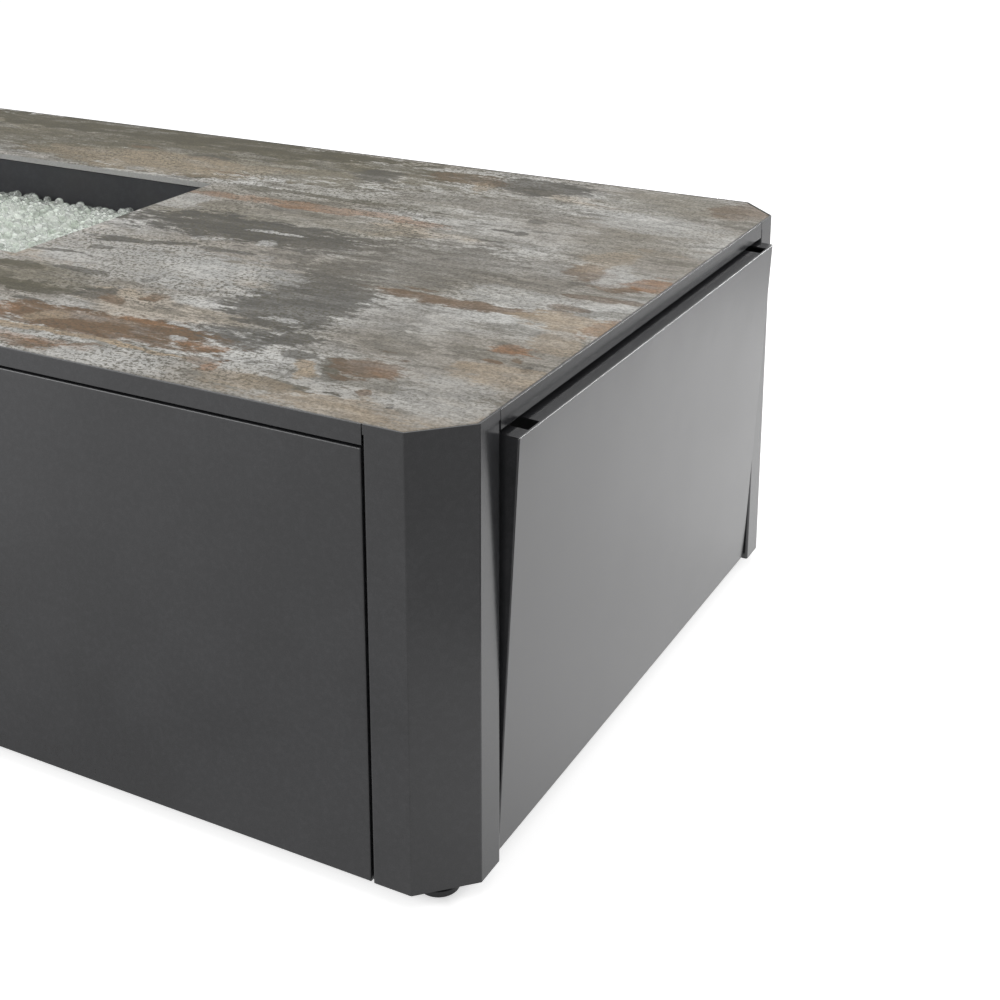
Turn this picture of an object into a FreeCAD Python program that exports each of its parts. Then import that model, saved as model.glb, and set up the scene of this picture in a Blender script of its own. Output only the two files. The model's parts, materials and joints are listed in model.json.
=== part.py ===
import FreeCAD, Part
import math
import os

os.makedirs("parts", exist_ok=True)
V = FreeCAD.Vector

# All sizes are in millimetres. X runs along the table, Y across it, and Z is up from the floor.
LENGTH = 1905.0
DEPTH = 762.0
HEIGHT = 419.0
FOOT_GAP = 13.0

# Folded sheet and the corner posts.
SHEET = 1.5
BEND = 2.5
CHAMFER = 42.3
POST_SIDE = 36.8
POST_END = 32.8
SIDE_LIP = 24.0
END_LIP = 40.0
SEAM = 1.0
PANEL_GAP = 2.0
PANEL_RETURN = 20.0

# Top frame and slab.
RAIL_FACE = 18.0
RAIL_DEPTH = 25.0
SLAB = 7.0
SLAB_GAP = 1.0
SLAB_EASE = 0.5
RIM_EASE = 0.5
PAD = 1.5
PAD_R = 8.0
OPEN_X = 627.0
OPEN_Y = 327.0
BEAM_W = 30.0
BEAM_H = 20.0
SIDE_BEAM_W = 20.0
END_BEAM_IN = 182.5
PAD_END = 70.0
CHANNEL_W = 40.0
CHANNEL_D = 14.0
CHANNEL_END = 1.0
FIXING_LOW = 62.0
FIXING_TOP = 63.0
FIXING_IN = 7.0
SPACER_W = 10.0
SPACER_H = 24.0

# Fire well, pan and burner.
WELL_SETBACK = 2.0
WELL_DEPTH = 65.0
WELL_LEDGE = 14.0
WELL_FLANGE = 20.0
PAN_DEPTH = 45.0
PAN_CLEAR = 2.0
BED_EDGE_DROP = 51.0
BED_TOP_DROP = 39.0
BED_COLUMNS = 10
BED_ROWS = 5
BED_RIM = 0.3
BED_LOW = 0.4
LUMP_TURN_X = 1.9
LUMP_TURN_Y = 2.3
LUMP_START = 0.3
BED_GAP = 1.0
BED_LIFT = 0.3
BURNER_X = 200.0
BURNER_Y = 60.0
BURNER_RISE = 21.5
BURNER_R = 9.0
BURNER_WALL = 1.5
BURNER_BEND = 30.0
BURNER_ROOM = 16.0
PORT_R = 1.25
PORT_STEP = 25.0
PORTS = 13
FEED_X = 20.0
FEED_R = 8.0
FEED_DROP = 10.5
FEED_NUT = 6.0
FEED_NUT_R = 14.0
FEED_HOLE = 0.6
MIXER_DROP = 12.0
MIXER_R = 12.5
MIXER_LENGTH = 70.0
MIXER_CAP = 3.0
WINDOW_START = 38.0
WINDOW_LENGTH = 22.0
WINDOW_W = 12.0
ELBOW_R = 11.0
ELBOW_ARM = 28.0
HEX_R = 11.0
HEX_LENGTH = 14.0
FLARE_NUT_R = 12.5
FLARE_NUT_LENGTH = 16.0
HOOD_X = -70.0
HOOD_W = 50.0
HOOD_D = 36.0
HOOD_DROP = 18.0
HOOD_WALL = 1.2
HOOD_GAP = 0.5
HOOD_BEND = 2.0
SLOTS = 4
SLOT_W = 4.0
SLOT_STEP = 10.0
SLOT_FIRST = 8.0
SLOT_SUNK = 18.0
SLOT_ROOF = 5.0
PROBE_GAP = 20.0
PROBE_Y = 8.0
PROBE_R = 2.5
PROBE_TIP_R = 1.7
PROBE_TIP = 10.0
PROBE_SHORT = 13.5
PROBE_FOOT = 6.0
SLEEVE_R = 3.0
SLEEVE_FOOT = 12.0
SLEEVE_LENGTH = 60.0
SPARK_R = 1.0
SPARK_SHORT = 15.5
SHIELD = 1.2
SHIELD_DROP = 22.0
SHIELD_HANG = 4.0
SHIELD_IN = 15.5

# Controls behind the door.
CONTROL_HALF = 125.0
CONTROL_DROP = 50.5
CONTROL_SKIRT = 44.0
CONTROL_FOLD = 12.0
KNOB_Y = -60.0
BUTTON_Y = 60.0
BRACKET_SCREW_R = 2.0
BRACKET_SCREW_HEAD = 2.5
BRACKET_SCREW_LENGTH = 8.0
VALVE_LENGTH = 52.0
VALVE_NECK = 8.0
VALVE_NECK_R = 15.0
VALVE_EDGE = 3.0
STEM_DEPTH = 26.0
BORE_DEPTH = 32.0
VALVE_HALF_W = 25.0
VALVE_HALF_H = 22.0
STEM_R = 3.0
KNOB_R = 21.0
KNOB_GRIP_R = 17.0
KNOB_LENGTH = 23.0
KNOB_STAND = 7.5
KNOB_SKIRT = 5.0
KNOB_BODY = 7.0
KNOB_BORE = 13.0
GRIP_W = 9.0
GRIP_IN = 1.5
BEZEL_R = 26.0
BEZEL = 2.0
BUTTON_R = 8.0
BUTTON_STROKE = 4.0
BUTTON_OUT = 14.0
BUTTON_BORE = 18.0
IGNITER_LENGTH = 44.0
IGNITER_NECK = 8.0
IGNITER_WALL = 3.0
IGNITER_NECK_WALL = 1.0
IGNITER_NUT = 4.0
IGNITER_NUT_R = 14.0
INLET_IN = 26.0
INLET_HEX = 12.0
FLARE = 4.0
FLARE_TIP_R = 4.5
INLET_R = 7.94
INLET_LENGTH = 12.0
OUTLET_UP = 5.0
OUTLET_HEX = 10.0
FLEX_R = 7.0
FLEX_BEND = 180.0
FLEX_NEAR = 72.0
FLEX_FAR = 222.0
LEAD_R = 1.5
LEAD_FALL = 22.0
LEAD_TURN = 18.0
LEAD_BEND = 120.0
LEAD_NEAR = 128.0
LEAD_FAR = 278.0
LEAD_SIDE = 18.0
LEAD_LOW = 12.0

# Door, its pivots and the touch latches.
DOOR_SETBACK = 3.5
DOOR_RISE = 4.4
DOOR_GAP = 3.4
DOOR_RETURN = 22.0
DOOR_SILL_RETURN = 8.0
PIVOT_BACK = 12.0
PIVOT_RISE = 10.6
PIN_R = 3.0
PIN_HEAD_R = 5.0
PIN_HEAD = 2.0
PIN_REACH = 6.0
BUSH_R = 5.0
BUSH_FLANGE = 1.2
BUSH_FLANGE_W = 2.5
BUSH_LENGTH = 4.0
DOOR_CHANNEL_W = 36.0
DOOR_CHANNEL_D = 12.0
DOOR_CHANNEL_IN = 30.0
AJAR = 2.85
NOTCH_IN = 28.0
NOTCH_W = 20.0
LATCH_DROP = 19.0
LATCH_W = 16.0
LATCH_H = 22.0
LATCH_IN = 11.0
LATCH_LENGTH = 76.0
LATCH_WALL = 2.0
LATCH_MOUTH_R = 6.0
LATCH_STEP = 10.0
LATCH_SEAT = 45.0
PLUNGER_R = 4.0
PLUNGER_LENGTH = 62.0
MAGNET_R = 7.0
MAGNET_T = 5.5
STRIKE = 2.0
STRIKE_W = 22.0

# Base frame and levelling feet.
GUSSET = 4.0
GUSSET_Z = 16.0
GUSSET_ARM = 104.0
GUSSET_SIDE_W = 35.0
GUSSET_END_W = 27.0
LIP_GAP = 1.0
BASE_LEG = 25.0
BASE_LEG_T = 2.0
BASE_LIP_GAP = 2.0
BASE_IN = 66.0
FOOT_IN = 38.6
FOOT_R = 18.0
STEM_FOOT_R = 5.0
FOOT_EDGE = 6.0
FOOT_ROUND = 1.5
FOOT_CONE = 4.0
FOOT_CONE_IN = 2.0
FOOT_COLLAR_R = 8.0
STEM_TOP = 50.0
STEM_HOLE = 0.5
NUT_H = 8.0
NUT_R = 9.8
RUN = 0.05
HOLE_EASE = 0.1
SCREW_R = 2.5
SCREW_HEAD_R = 4.5
SCREW_HEAD = 3.0
SCREW_ROUND = 1.2
SCREW_OUT = 3.0
CUT = 1.0

HALF_X = LENGTH / 2
HALF_Y = DEPTH / 2
SLAB_Z = HEIGHT - SLAB
SHELF_Z = SLAB_Z - PAD
RAIL_Z = HEIGHT - RAIL_FACE
PANEL_TOP = RAIL_Z - PANEL_GAP
SIDE_END = HALF_X - CHAMFER - POST_SIDE
END_END = HALF_Y - CHAMFER - POST_END
LINER_X = OPEN_X / 2 + WELL_SETBACK
LINER_Y = OPEN_Y / 2 + WELL_SETBACK
BEAM_TOP = SHELF_Z - SHEET
LEDGE_Z = SHELF_Z - WELL_DEPTH
PAN_X = LINER_X - WELL_LEDGE - PAN_CLEAR
PAN_Y = LINER_Y - WELL_LEDGE - PAN_CLEAR
PAN_Z = LEDGE_Z - PAN_DEPTH
BURNER_Z = PAN_Z + BURNER_RISE
FEED_FOOT = PAN_Z - FEED_DROP
MIXER_Z = FEED_FOOT - MIXER_DROP
SHIELD_FLOOR = MIXER_Z - SHIELD_DROP
BED_EDGE = HEIGHT - BED_EDGE_DROP
BED_TOP = HEIGHT - BED_TOP_DROP
HOOD_TOP = HEIGHT - HOOD_DROP
END_BEAM_X = HALF_X - END_BEAM_IN
PANEL_X = END_BEAM_X + BEAM_W
CONTROL_TOP = SHELF_Z - BEAM_H
CONTROL_Z = CONTROL_TOP - CONTROL_DROP
CONTROL_LOW = CONTROL_Z - CONTROL_SKIRT
DOOR_X = HALF_X - DOOR_SETBACK
DOOR_LOW = FOOT_GAP + DOOR_RISE
DOOR_TOP = RAIL_Z - DOOR_GAP
DOOR_HALF = END_END - DOOR_GAP
PIVOT_X = DOOR_X - PIVOT_BACK
PIVOT_Z = DOOR_LOW + PIVOT_RISE
LATCH_Y = DOOR_HALF - NOTCH_IN
LATCH_Z = RAIL_Z - LATCH_DROP
LATCH_FRONT = DOOR_X - LATCH_IN
SIDES = ("front", "back", "left", "right")
CORNERS = (("front_left", -1, -1), ("front_right", 1, -1), ("back_left", -1, 1), ("back_right", 1, 1))


def at(side, inward, along, z):
    """Point at a distance inward from one side's outer plane."""
    if side == "front":
        return V(along, inward - HALF_Y, z)
    if side == "back":
        return V(along, HALF_Y - inward, z)
    if side == "left":
        return V(inward - HALF_X, along, z)
    return V(HALF_X - inward, along, z)


def corner(sx, sy, u, v, z):
    """Point at distances u and v inward from a corner's end plane and side plane."""
    return V(sx * (HALF_X - u), sy * (HALF_Y - v), z)


def between(p, q):
    """Box with two opposite corners."""
    low = V(min(p.x, q.x), min(p.y, q.y), min(p.z, q.z))
    return Part.makeBox(abs(p.x - q.x), abs(p.y - q.y), abs(p.z - q.z), low)


def block(x0, x1, y0, y1, z0, z1):
    return between(V(x0, y0, z0), V(x1, y1, z1))


def rod(radius, start, end):
    return Part.makeCylinder(radius, (end - start).Length, start, end - start)


def hexagon(radius, start, end, bore):
    """Hexagonal nut or body between two points, with a bore if one is given."""
    axis = (end - start).normalize()
    side = V(0, 0, 1) if abs(axis.z) < 0.5 else V(1, 0, 0)
    other = axis.cross(side)
    turns = [math.radians(60 * i + 30) for i in range(6)]
    points = [start + side * (radius * math.cos(a)) + other * (radius * math.sin(a)) for a in turns]
    body = prism(points, end - start)
    return body.cut(rod(bore, start, end)) if bore else body


def path(points, radii, closed):
    """Wire through the points, with a tangent arc at each corner that has a radius."""
    count = len(points)
    turns = []
    for i, p in enumerate(points):
        if not radii[i] or (not closed and i in (0, count - 1)):
            turns.append((p, None, p))
            continue
        back = (points[i - 1] - p).normalize()
        ahead = (points[(i + 1) % count] - p).normalize()
        half = back.getAngle(ahead) / 2
        middle = (back + ahead).normalize()
        reach = radii[i] / math.tan(half)
        bulge = radii[i] / math.sin(half) - radii[i]
        turns.append((p + back * reach, p + middle * bulge, p + ahead * reach))
    edges = []
    for i, (enter, middle, leave) in enumerate(turns):
        if middle:
            edges.append(Part.Arc(enter, middle, leave).toShape())
        last = i == count - 1
        if last and not closed:
            continue
        target = turns[(i + 1) % count][0]
        if (target - leave).Length > 1e-6:
            edges.append(Part.LineSegment(leave, target).toShape())
    return Part.Wire(edges)


def prism(points, push, radii=None):
    """Solid pushed out of a closed outline, with rounded corners where radii are given."""
    solid = Part.Face(path(points, radii or [0] * len(points), True)).extrude(push)
    if solid.Volume < 0:
        solid.reverse()
    return solid


def tube_run(points, bends, radius):
    """Round cord or pipe along a route of straight runs joined by tangent arcs."""
    route = path(points, bends, False)
    start = (points[1] - points[0]).normalize()
    ring = Part.Wire(Part.makeCircle(radius, points[0], start))
    return route.makePipeShell([ring], True, True)


def rounded(shape, radius, chosen):
    """Fillet on the edges that a test picks."""
    return shape.makeFillet(radius, [e for e in shape.Edges if chosen(e)])


def on_plane(edge, axis, value):
    """Whether an edge lies wholly on one plane across an axis."""
    return all(abs(getattr(v.Point, axis) - value) < 1e-6 for v in edge.Vertexes)


def runs_along(edge, axis):
    """Whether an edge's ends differ along an axis."""
    return abs(getattr(edge.Vertexes[0].Point, axis) - getattr(edge.Vertexes[-1].Point, axis)) > 1e-3


def make_post(sx, sy):
    """Folded corner post: side face, chamfer, end face and two inward lips."""
    side = CHAMFER + POST_SIDE
    end = CHAMFER + POST_END
    turn = CHAMFER + (math.sqrt(2) - 1) * SHEET
    outer = [(side, SIDE_LIP), (side, 0), (CHAMFER, 0), (0, CHAMFER), (0, end), (END_LIP, end)]
    inner = [(END_LIP, end - SHEET), (SHEET, end - SHEET), (SHEET, turn), (turn, SHEET),
             (side - SHEET, SHEET), (side - SHEET, SIDE_LIP)]
    radii = [0, BEND, BEND, BEND, BEND, 0] + [0] * len(inner)
    low = [corner(sx, sy, u, v, FOOT_GAP) for u, v in outer + inner]
    body = prism(low, V(0, 0, SHELF_Z - FOOT_GAP), radii)
    rim = [(side, 0), (CHAMFER, 0), (0, CHAMFER), (0, end),
           (SHEET, end), (SHEET, turn), (turn, SHEET), (side, SHEET)]
    top = [corner(sx, sy, u, v, SHELF_Z) for u, v in rim]
    body = body.fuse(prism(top, V(0, 0, HEIGHT - SHELF_Z), [0, BEND, BEND, 0, 0, 0, 0, 0]))
    sign = sy * END_END
    if sx > 0:
        body = body.cut(rod(BUSH_R, V(PIVOT_X, sign - BUSH_R, PIVOT_Z), V(PIVOT_X, sign + BUSH_R, PIVOT_Z)))
    return body.cut(fixing_holes()).removeSplitter()


def make_rail(side, half):
    """Top rail: a folded tube that carries the slab, with a rim standing up beside it."""
    section = [(0, RAIL_Z), (0, HEIGHT), (SHEET, HEIGHT), (SHEET, SHELF_Z),
               (RAIL_DEPTH, SHELF_Z), (RAIL_DEPTH, RAIL_Z)]
    push = at(side, 0, half, 0) - at(side, 0, -half, 0)
    body = prism([at(side, d, -half, z) for d, z in section], push, [BEND / 2, RIM_EASE, 0, 0, 0, 0])
    hollow = between(at(side, SHEET, -half, RAIL_Z + SHEET),
                     at(side, RAIL_DEPTH - SHEET, half, SHELF_Z - SHEET))
    return body.cut(hollow)


def make_slab():
    """Porcelain top with cut corners and the opening over the fire well."""
    edge = SHEET + SLAB_GAP
    turn = CHAMFER + (math.sqrt(2) - 1) * edge
    points = []
    for sx, sy in ((1, -1), (1, 1), (-1, 1), (-1, -1)):
        pair = [corner(sx, sy, turn, edge, SLAB_Z), corner(sx, sy, edge, turn, SLAB_Z)]
        points += pair if sx * sy < 0 else pair[::-1]
    body = prism(points, V(0, 0, SLAB))
    hole = block(-OPEN_X / 2, OPEN_X / 2, -OPEN_Y / 2, OPEN_Y / 2, SLAB_Z, HEIGHT)
    body = body.cut(hole)
    return body.makeChamfer(SLAB_EASE, [e for e in body.Edges if on_plane(e, "z", HEIGHT)])


def spread(reach, count):
    """Evenly spaced places from -reach to reach."""
    return [reach * (2 * i / (count - 1) - 1) for i in range(count)]


def make_pads():
    """Silicone spots between the slab and the top frame."""
    middle = RAIL_DEPTH / 2
    across = spread(END_END - PAD_END, 3)
    spots = []
    for x in spread(SIDE_END - PAD_END, 6):
        spots += [at("front", middle, x, SHELF_Z), at("back", middle, x, SHELF_Z)]
    for y in across:
        x = END_BEAM_X + BEAM_W / 2
        spots += [at("left", middle, y, SHELF_Z), at("right", middle, y, SHELF_Z)]
        spots += [V(x, y, SHELF_Z), V(-x, y, SHELF_Z)]
    for x in spread(LINER_X - PAD_END, 3):
        y = LINER_Y + WELL_FLANGE / 2
        spots += [V(x, y, SHELF_Z), V(x, -y, SHELF_Z)]
    spots += [V(LINER_X + WELL_FLANGE / 2, 0, SHELF_Z), V(-LINER_X - WELL_FLANGE / 2, 0, SHELF_Z)]
    return [rod(PAD_R, p, p + V(0, 0, PAD)) for p in spots]


def panel_half(side):
    """Half the width of the fixed panel on one side."""
    return (SIDE_END if side in ("front", "back") else END_END) - PANEL_GAP


def make_panel(side):
    """Fixed panel: a pan with a return fold on all four edges."""
    half = panel_half(side)
    outer = between(at(side, 0, -half, FOOT_GAP), at(side, PANEL_RETURN, half, PANEL_TOP))
    inner = between(at(side, SHEET, SHEET - half, FOOT_GAP + SHEET),
                    at(side, PANEL_RETURN, half - SHEET, PANEL_TOP - SHEET))
    axis = "y" if side in ("front", "back") else "x"
    face = getattr(at(side, 0, 0, 0), axis)
    shell = rounded(outer, BEND / 2, lambda e: on_plane(e, axis, face)).cut(inner)
    return shell.cut(fixing_holes())


def make_stiffeners():
    """Folded channels behind the fixed panels."""
    low = FOOT_GAP + SHEET + CHANNEL_END
    high = PANEL_TOP - SHEET - CHANNEL_END
    third = SIDE_END / 3
    channels = []
    for side, places in (("front", (-third, third)), ("back", (-third, third)), ("left", (0,))):
        for s in places:
            outer = between(at(side, SHEET, s - CHANNEL_W / 2, low),
                            at(side, SHEET + CHANNEL_D, s + CHANNEL_W / 2, high))
            inner = between(at(side, SHEET, s - CHANNEL_W / 2 + SHEET, low),
                            at(side, CHANNEL_D, s + CHANNEL_W / 2 - SHEET, high))
            channels.append(outer.cut(inner))
    return channels


def fixings():
    """Side, sign along the side and height of each panel fixing."""
    for side in ("front", "back", "left"):
        for sign in (-1, 1):
            for z in (FOOT_GAP + FIXING_LOW, PANEL_TOP - FIXING_TOP):
                yield side, sign, z


def fixing_line(side, sign, z):
    """Start and direction of a panel fixing, from the panel's return towards the post."""
    inward = PANEL_RETURN - FIXING_IN
    half = panel_half(side)
    start = at(side, inward, sign * (half - SHEET), z)
    return start, (at(side, inward, sign * half, z) - start).normalize()


def fixing_holes():
    """Clearance holes for the panel screws, cut from panels, spacers and posts alike."""
    holes = []
    for side, sign, z in fixings():
        start, ahead = fixing_line(side, sign, z)
        end = start + ahead * (2 * SHEET + PANEL_GAP + CUT)
        holes.append(rod(SCREW_R + HOLE_EASE, start - ahead * CUT, end))
    return Part.makeCompound(holes)


def make_spacers():
    """Spacers that fill the gap between a panel's return and the post's lip."""
    middle = PANEL_RETURN - FIXING_IN
    spacers = []
    for side, sign, z in fixings():
        half = panel_half(side)
        spacer = between(at(side, middle - SPACER_W / 2, sign * half, z - SPACER_H / 2),
                         at(side, middle + SPACER_W / 2, sign * (half + PANEL_GAP), z + SPACER_H / 2))
        spacers.append(spacer.cut(fixing_holes()))
    return spacers


def make_screws():
    """Panel screws with domed heads inside the panels."""
    screws = []
    for side, sign, z in fixings():
        start, ahead = fixing_line(side, sign, z)
        tip = start - ahead * SCREW_HEAD
        shank = rod(SCREW_R, start, start + ahead * (2 * SHEET + PANEL_GAP + SCREW_OUT))
        head = rounded(rod(SCREW_HEAD_R, tip, start), SCREW_ROUND,
                       lambda e, tip=tip: (e.BoundBox.Center - tip).Length < 0.01)
        screws.append(shank.fuse(head))
    return screws


def box_tube(x0, x1, y0, y1, z0, z1, along):
    """Rectangular steel tube that runs along one axis."""
    outer = block(x0, x1, y0, y1, z0, z1)
    if along == "y":
        return outer.cut(block(x0 + SHEET, x1 - SHEET, y0, y1, z0 + SHEET, z1 - SHEET))
    return outer.cut(block(x0, x1, y0 + SHEET, y1 - SHEET, z0 + SHEET, z1 - SHEET))


def make_cross_beams():
    """Cross beams beside the fire well and near the ends; the right end one carries the controls."""
    reach = HALF_Y - RAIL_DEPTH
    beams = []
    for start, top in ((LINER_X + SHEET, BEAM_TOP), (END_BEAM_X, SHELF_Z)):
        for s in (-1, 1):
            x = sorted((s * start, s * (start + BEAM_W)))
            beams.append(box_tube(x[0], x[1], -reach, reach, top - BEAM_H, top, "y"))
    return beams[:-1] + [beams[-1].cut(bracket_holes())]


def make_side_beams():
    """The two beams along the fire well, between its cross beams."""
    reach = LINER_X + SHEET
    beams = []
    for s in (-1, 1):
        y = sorted((s * (LINER_Y + SHEET), s * (LINER_Y + SHEET + SIDE_BEAM_W)))
        beams.append(box_tube(-reach, reach, y[0], y[1], BEAM_TOP - BEAM_H, BEAM_TOP, "x"))
    return beams


def make_liner():
    """Fire well walls with a flange on the beams and a ledge for the burner pan."""
    wall = block(-LINER_X - SHEET, LINER_X + SHEET, -LINER_Y - SHEET, LINER_Y + SHEET, LEDGE_Z, SHELF_Z)
    flange = block(-LINER_X - WELL_FLANGE, LINER_X + WELL_FLANGE,
                   -LINER_Y - WELL_FLANGE, LINER_Y + WELL_FLANGE, BEAM_TOP, SHELF_Z)
    inside = block(-LINER_X, LINER_X, -LINER_Y, LINER_Y, LEDGE_Z + SHEET, SHELF_Z)
    hole = block(WELL_LEDGE - LINER_X, LINER_X - WELL_LEDGE,
                 WELL_LEDGE - LINER_Y, LINER_Y - WELL_LEDGE, LEDGE_Z, SHELF_Z)
    return wall.fuse(flange).cut(inside).cut(hole).removeSplitter()


def make_pan():
    """Burner pan that hangs by its lip on the liner's ledge."""
    low = LEDGE_Z + SHEET
    body = block(-PAN_X, PAN_X, -PAN_Y, PAN_Y, PAN_Z, low + SHEET)
    x, y = LINER_X - PAN_CLEAR, LINER_Y - PAN_CLEAR
    lip = block(-x, x, -y, y, low, low + SHEET)
    inside = block(SHEET - PAN_X, PAN_X - SHEET, SHEET - PAN_Y, PAN_Y - SHEET, PAN_Z + SHEET, low + SHEET)
    pan = body.fuse(lip).cut(inside)
    for x, y, r in ((FEED_X, -BURNER_Y, FEED_R), (HOOD_X - PROBE_GAP / 2, -PROBE_Y, PROBE_R),
                    (HOOD_X + PROBE_GAP / 2, PROBE_Y, SLEEVE_R)):
        pan = pan.cut(rod(r + FEED_HOLE, V(x, y, PAN_Z), V(x, y, PAN_Z + SHEET)))
    return pan.removeSplitter()


def loop(radius):
    """Closed round tube along the burner's rectangle."""
    x, y, z = BURNER_X, BURNER_Y, BURNER_Z
    points = [V(0, -y, z), V(x, -y, z), V(x, y, z), V(-x, y, z), V(-x, -y, z)]
    route = path(points, [0] + [BURNER_BEND] * 4, True)
    ring = Part.Wire(Part.makeCircle(radius, V(0, -y, z), V(1, 0, 0)))
    return route.makePipeShell([ring], True, True)


def make_burner():
    """Hollow burner loop with its feed stub and gas ports."""
    foot = V(FEED_X, -BURNER_Y, FEED_FOOT)
    centre = V(FEED_X, -BURNER_Y, BURNER_Z)
    body = loop(BURNER_R).fuse(rod(FEED_R, foot, centre))
    body = body.cut(loop(BURNER_R - BURNER_WALL)).cut(rod(FEED_R - BURNER_WALL, foot, centre))
    ports = []
    for i in range(PORTS):
        for y in (-BURNER_Y, BURNER_Y):
            start = V((i - (PORTS - 1) / 2) * PORT_STEP, y, BURNER_Z)
            ports.append(rod(PORT_R, start, start + V(0, 0, BURNER_R + CUT)))
    return body.cut(Part.makeCompound(ports))


def make_locknuts():
    """Nuts that hold the feed stub above and below the pan's floor."""
    centre = V(FEED_X, -BURNER_Y, 0)
    nuts = []
    for low in (PAN_Z - FEED_NUT, PAN_Z + SHEET):
        seat = centre + V(0, 0, low)
        nuts.append(hexagon(FEED_NUT_R, seat, seat + V(0, 0, FEED_NUT), FEED_R + HOLE_EASE))
    return nuts


def make_elbow():
    """Elbow between the feed stub and the mixer."""
    foot = V(FEED_X, -BURNER_Y, MIXER_Z)
    end = foot + V(ELBOW_ARM, 0, 0)
    body = rod(ELBOW_R, foot, V(FEED_X, -BURNER_Y, FEED_FOOT)).fuse(rod(ELBOW_R, foot, end))
    return body.fuse(Part.makeSphere(ELBOW_R, foot)).removeSplitter()


def make_mixer():
    """Air mixer tube with a window through it."""
    start = V(FEED_X + ELBOW_ARM, -BURNER_Y, MIXER_Z)
    body = rod(MIXER_R, start, start + V(MIXER_LENGTH, 0, 0))
    inside = rod(MIXER_R - SHEET, start + V(MIXER_CAP, 0, 0), start + V(MIXER_LENGTH - MIXER_CAP, 0, 0))
    window = between(start + V(WINDOW_START, -WINDOW_W / 2, -MIXER_R),
                     start + V(WINDOW_START + WINDOW_LENGTH, WINDOW_W / 2, MIXER_R))
    return body.cut(inside).cut(window)


def mixer_end():
    return V(FEED_X + ELBOW_ARM + MIXER_LENGTH, -BURNER_Y, MIXER_Z)


def make_orifice():
    """Orifice fitting and flare nut between the mixer and the flexible line."""
    start = mixer_end()
    seat = start + V(HEX_LENGTH, 0, 0)
    body = hexagon(HEX_R, start, seat, 0)
    return body.fuse(hexagon(FLARE_NUT_R, seat, seat + V(FLARE_NUT_LENGTH, 0, 0), 0)).removeSplitter()


def glass_height(i, j):
    """Height of the loose glass at a corner of its grid: lowest at the liner, lumpy further in."""
    lump = 0.5 + 0.5 * math.sin(LUMP_START + LUMP_TURN_X * i) * math.cos(LUMP_TURN_Y * j + i)
    inside = 0 < i < BED_COLUMNS and 0 < j < BED_ROWS
    share = BED_LOW + (1 - BED_LOW) * lump if inside else BED_RIM * lump
    return BED_EDGE + (BED_TOP - BED_EDGE) * share


def flat_face(points):
    return Part.Face(Part.makePolygon(points + points[:1]))


def make_heap(low):
    """Loose glass above the liner's ledge, with an uneven top."""
    x, y = LINER_X - BED_GAP, LINER_Y - BED_GAP
    top = []
    for i in range(BED_COLUMNS + 1):
        along = x * (2 * i / BED_COLUMNS - 1)
        top.append([V(along, y * (2 * j / BED_ROWS - 1), glass_height(i, j)) for j in range(BED_ROWS + 1)])
    faces = []
    for i in range(BED_COLUMNS):
        for j in range(BED_ROWS):
            a, b, c, d = top[i][j], top[i + 1][j], top[i + 1][j + 1], top[i][j + 1]
            faces.extend([flat_face([a, b, c]), flat_face([a, c, d])])
    front, back = [row[0] for row in top], [row[-1] for row in top]
    for edge in (front, back, top[0], top[-1]):
        faces.append(flat_face([V(edge[-1].x, edge[-1].y, low), V(edge[0].x, edge[0].y, low)] + edge))
    faces.append(flat_face([V(-x, -y, low), V(x, -y, low), V(x, y, low), V(-x, y, low)]))
    return Part.makeSolid(Part.makeShell(faces))


def make_bed():
    """Glass media: fills the pan round the burner and heaps up above the ledge."""
    lip = LEDGE_Z + 2 * SHEET + BED_LIFT
    x, y = PAN_X - SHEET - BED_GAP, PAN_Y - SHEET - BED_GAP
    bed = block(-x, x, -y, y, PAN_Z + SHEET + BED_LIFT, lip).fuse(make_heap(lip))
    x, y, gap = BURNER_X, BURNER_Y, BURNER_ROOM
    roof = BURNER_Z + BURNER_R + BED_GAP
    trench = block(-x - gap, x + gap, -y - gap, y + gap, PAN_Z, roof)
    core = block(gap - x, x - gap, gap - y, y - gap, PAN_Z, roof)
    x, y = HOOD_W / 2 + HOOD_GAP, HOOD_D / 2 + HOOD_GAP
    hood = block(HOOD_X - x, HOOD_X + x, -y, y, PAN_Z, HEIGHT)
    return bed.cut(trench.cut(core)).cut(hood).removeSplitter()


def make_hood():
    """Slotted hood over the thermocouple and the spark electrode."""
    low = PAN_Z + SHEET
    x0, x1, y = HOOD_X - HOOD_W / 2, HOOD_X + HOOD_W / 2, HOOD_D / 2
    body = rounded(block(x0, x1, -y, y, low, HOOD_TOP), HOOD_BEND, lambda e: runs_along(e, "z"))
    wall = HOOD_WALL
    body = body.cut(block(x0 + wall, x1 - wall, wall - y, y - wall, low, HOOD_TOP - wall))
    for i in range(SLOTS):
        x = x0 + SLOT_FIRST + i * SLOT_STEP
        body = body.cut(block(x, x + SLOT_W, -y, y, BED_TOP - SLOT_SUNK, HOOD_TOP - SLOT_ROOF))
    return body


def lead_route(foot, end):
    """Route of a lead: down from the pan, along under it and up to the controls."""
    fall = V(0, 0, LEAD_FALL)
    under = V(end.x - LEAD_FAR, foot.y, foot.z)
    return [foot, foot - fall, under - fall, end - V(LEAD_NEAR, 0, 0), end]


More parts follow.
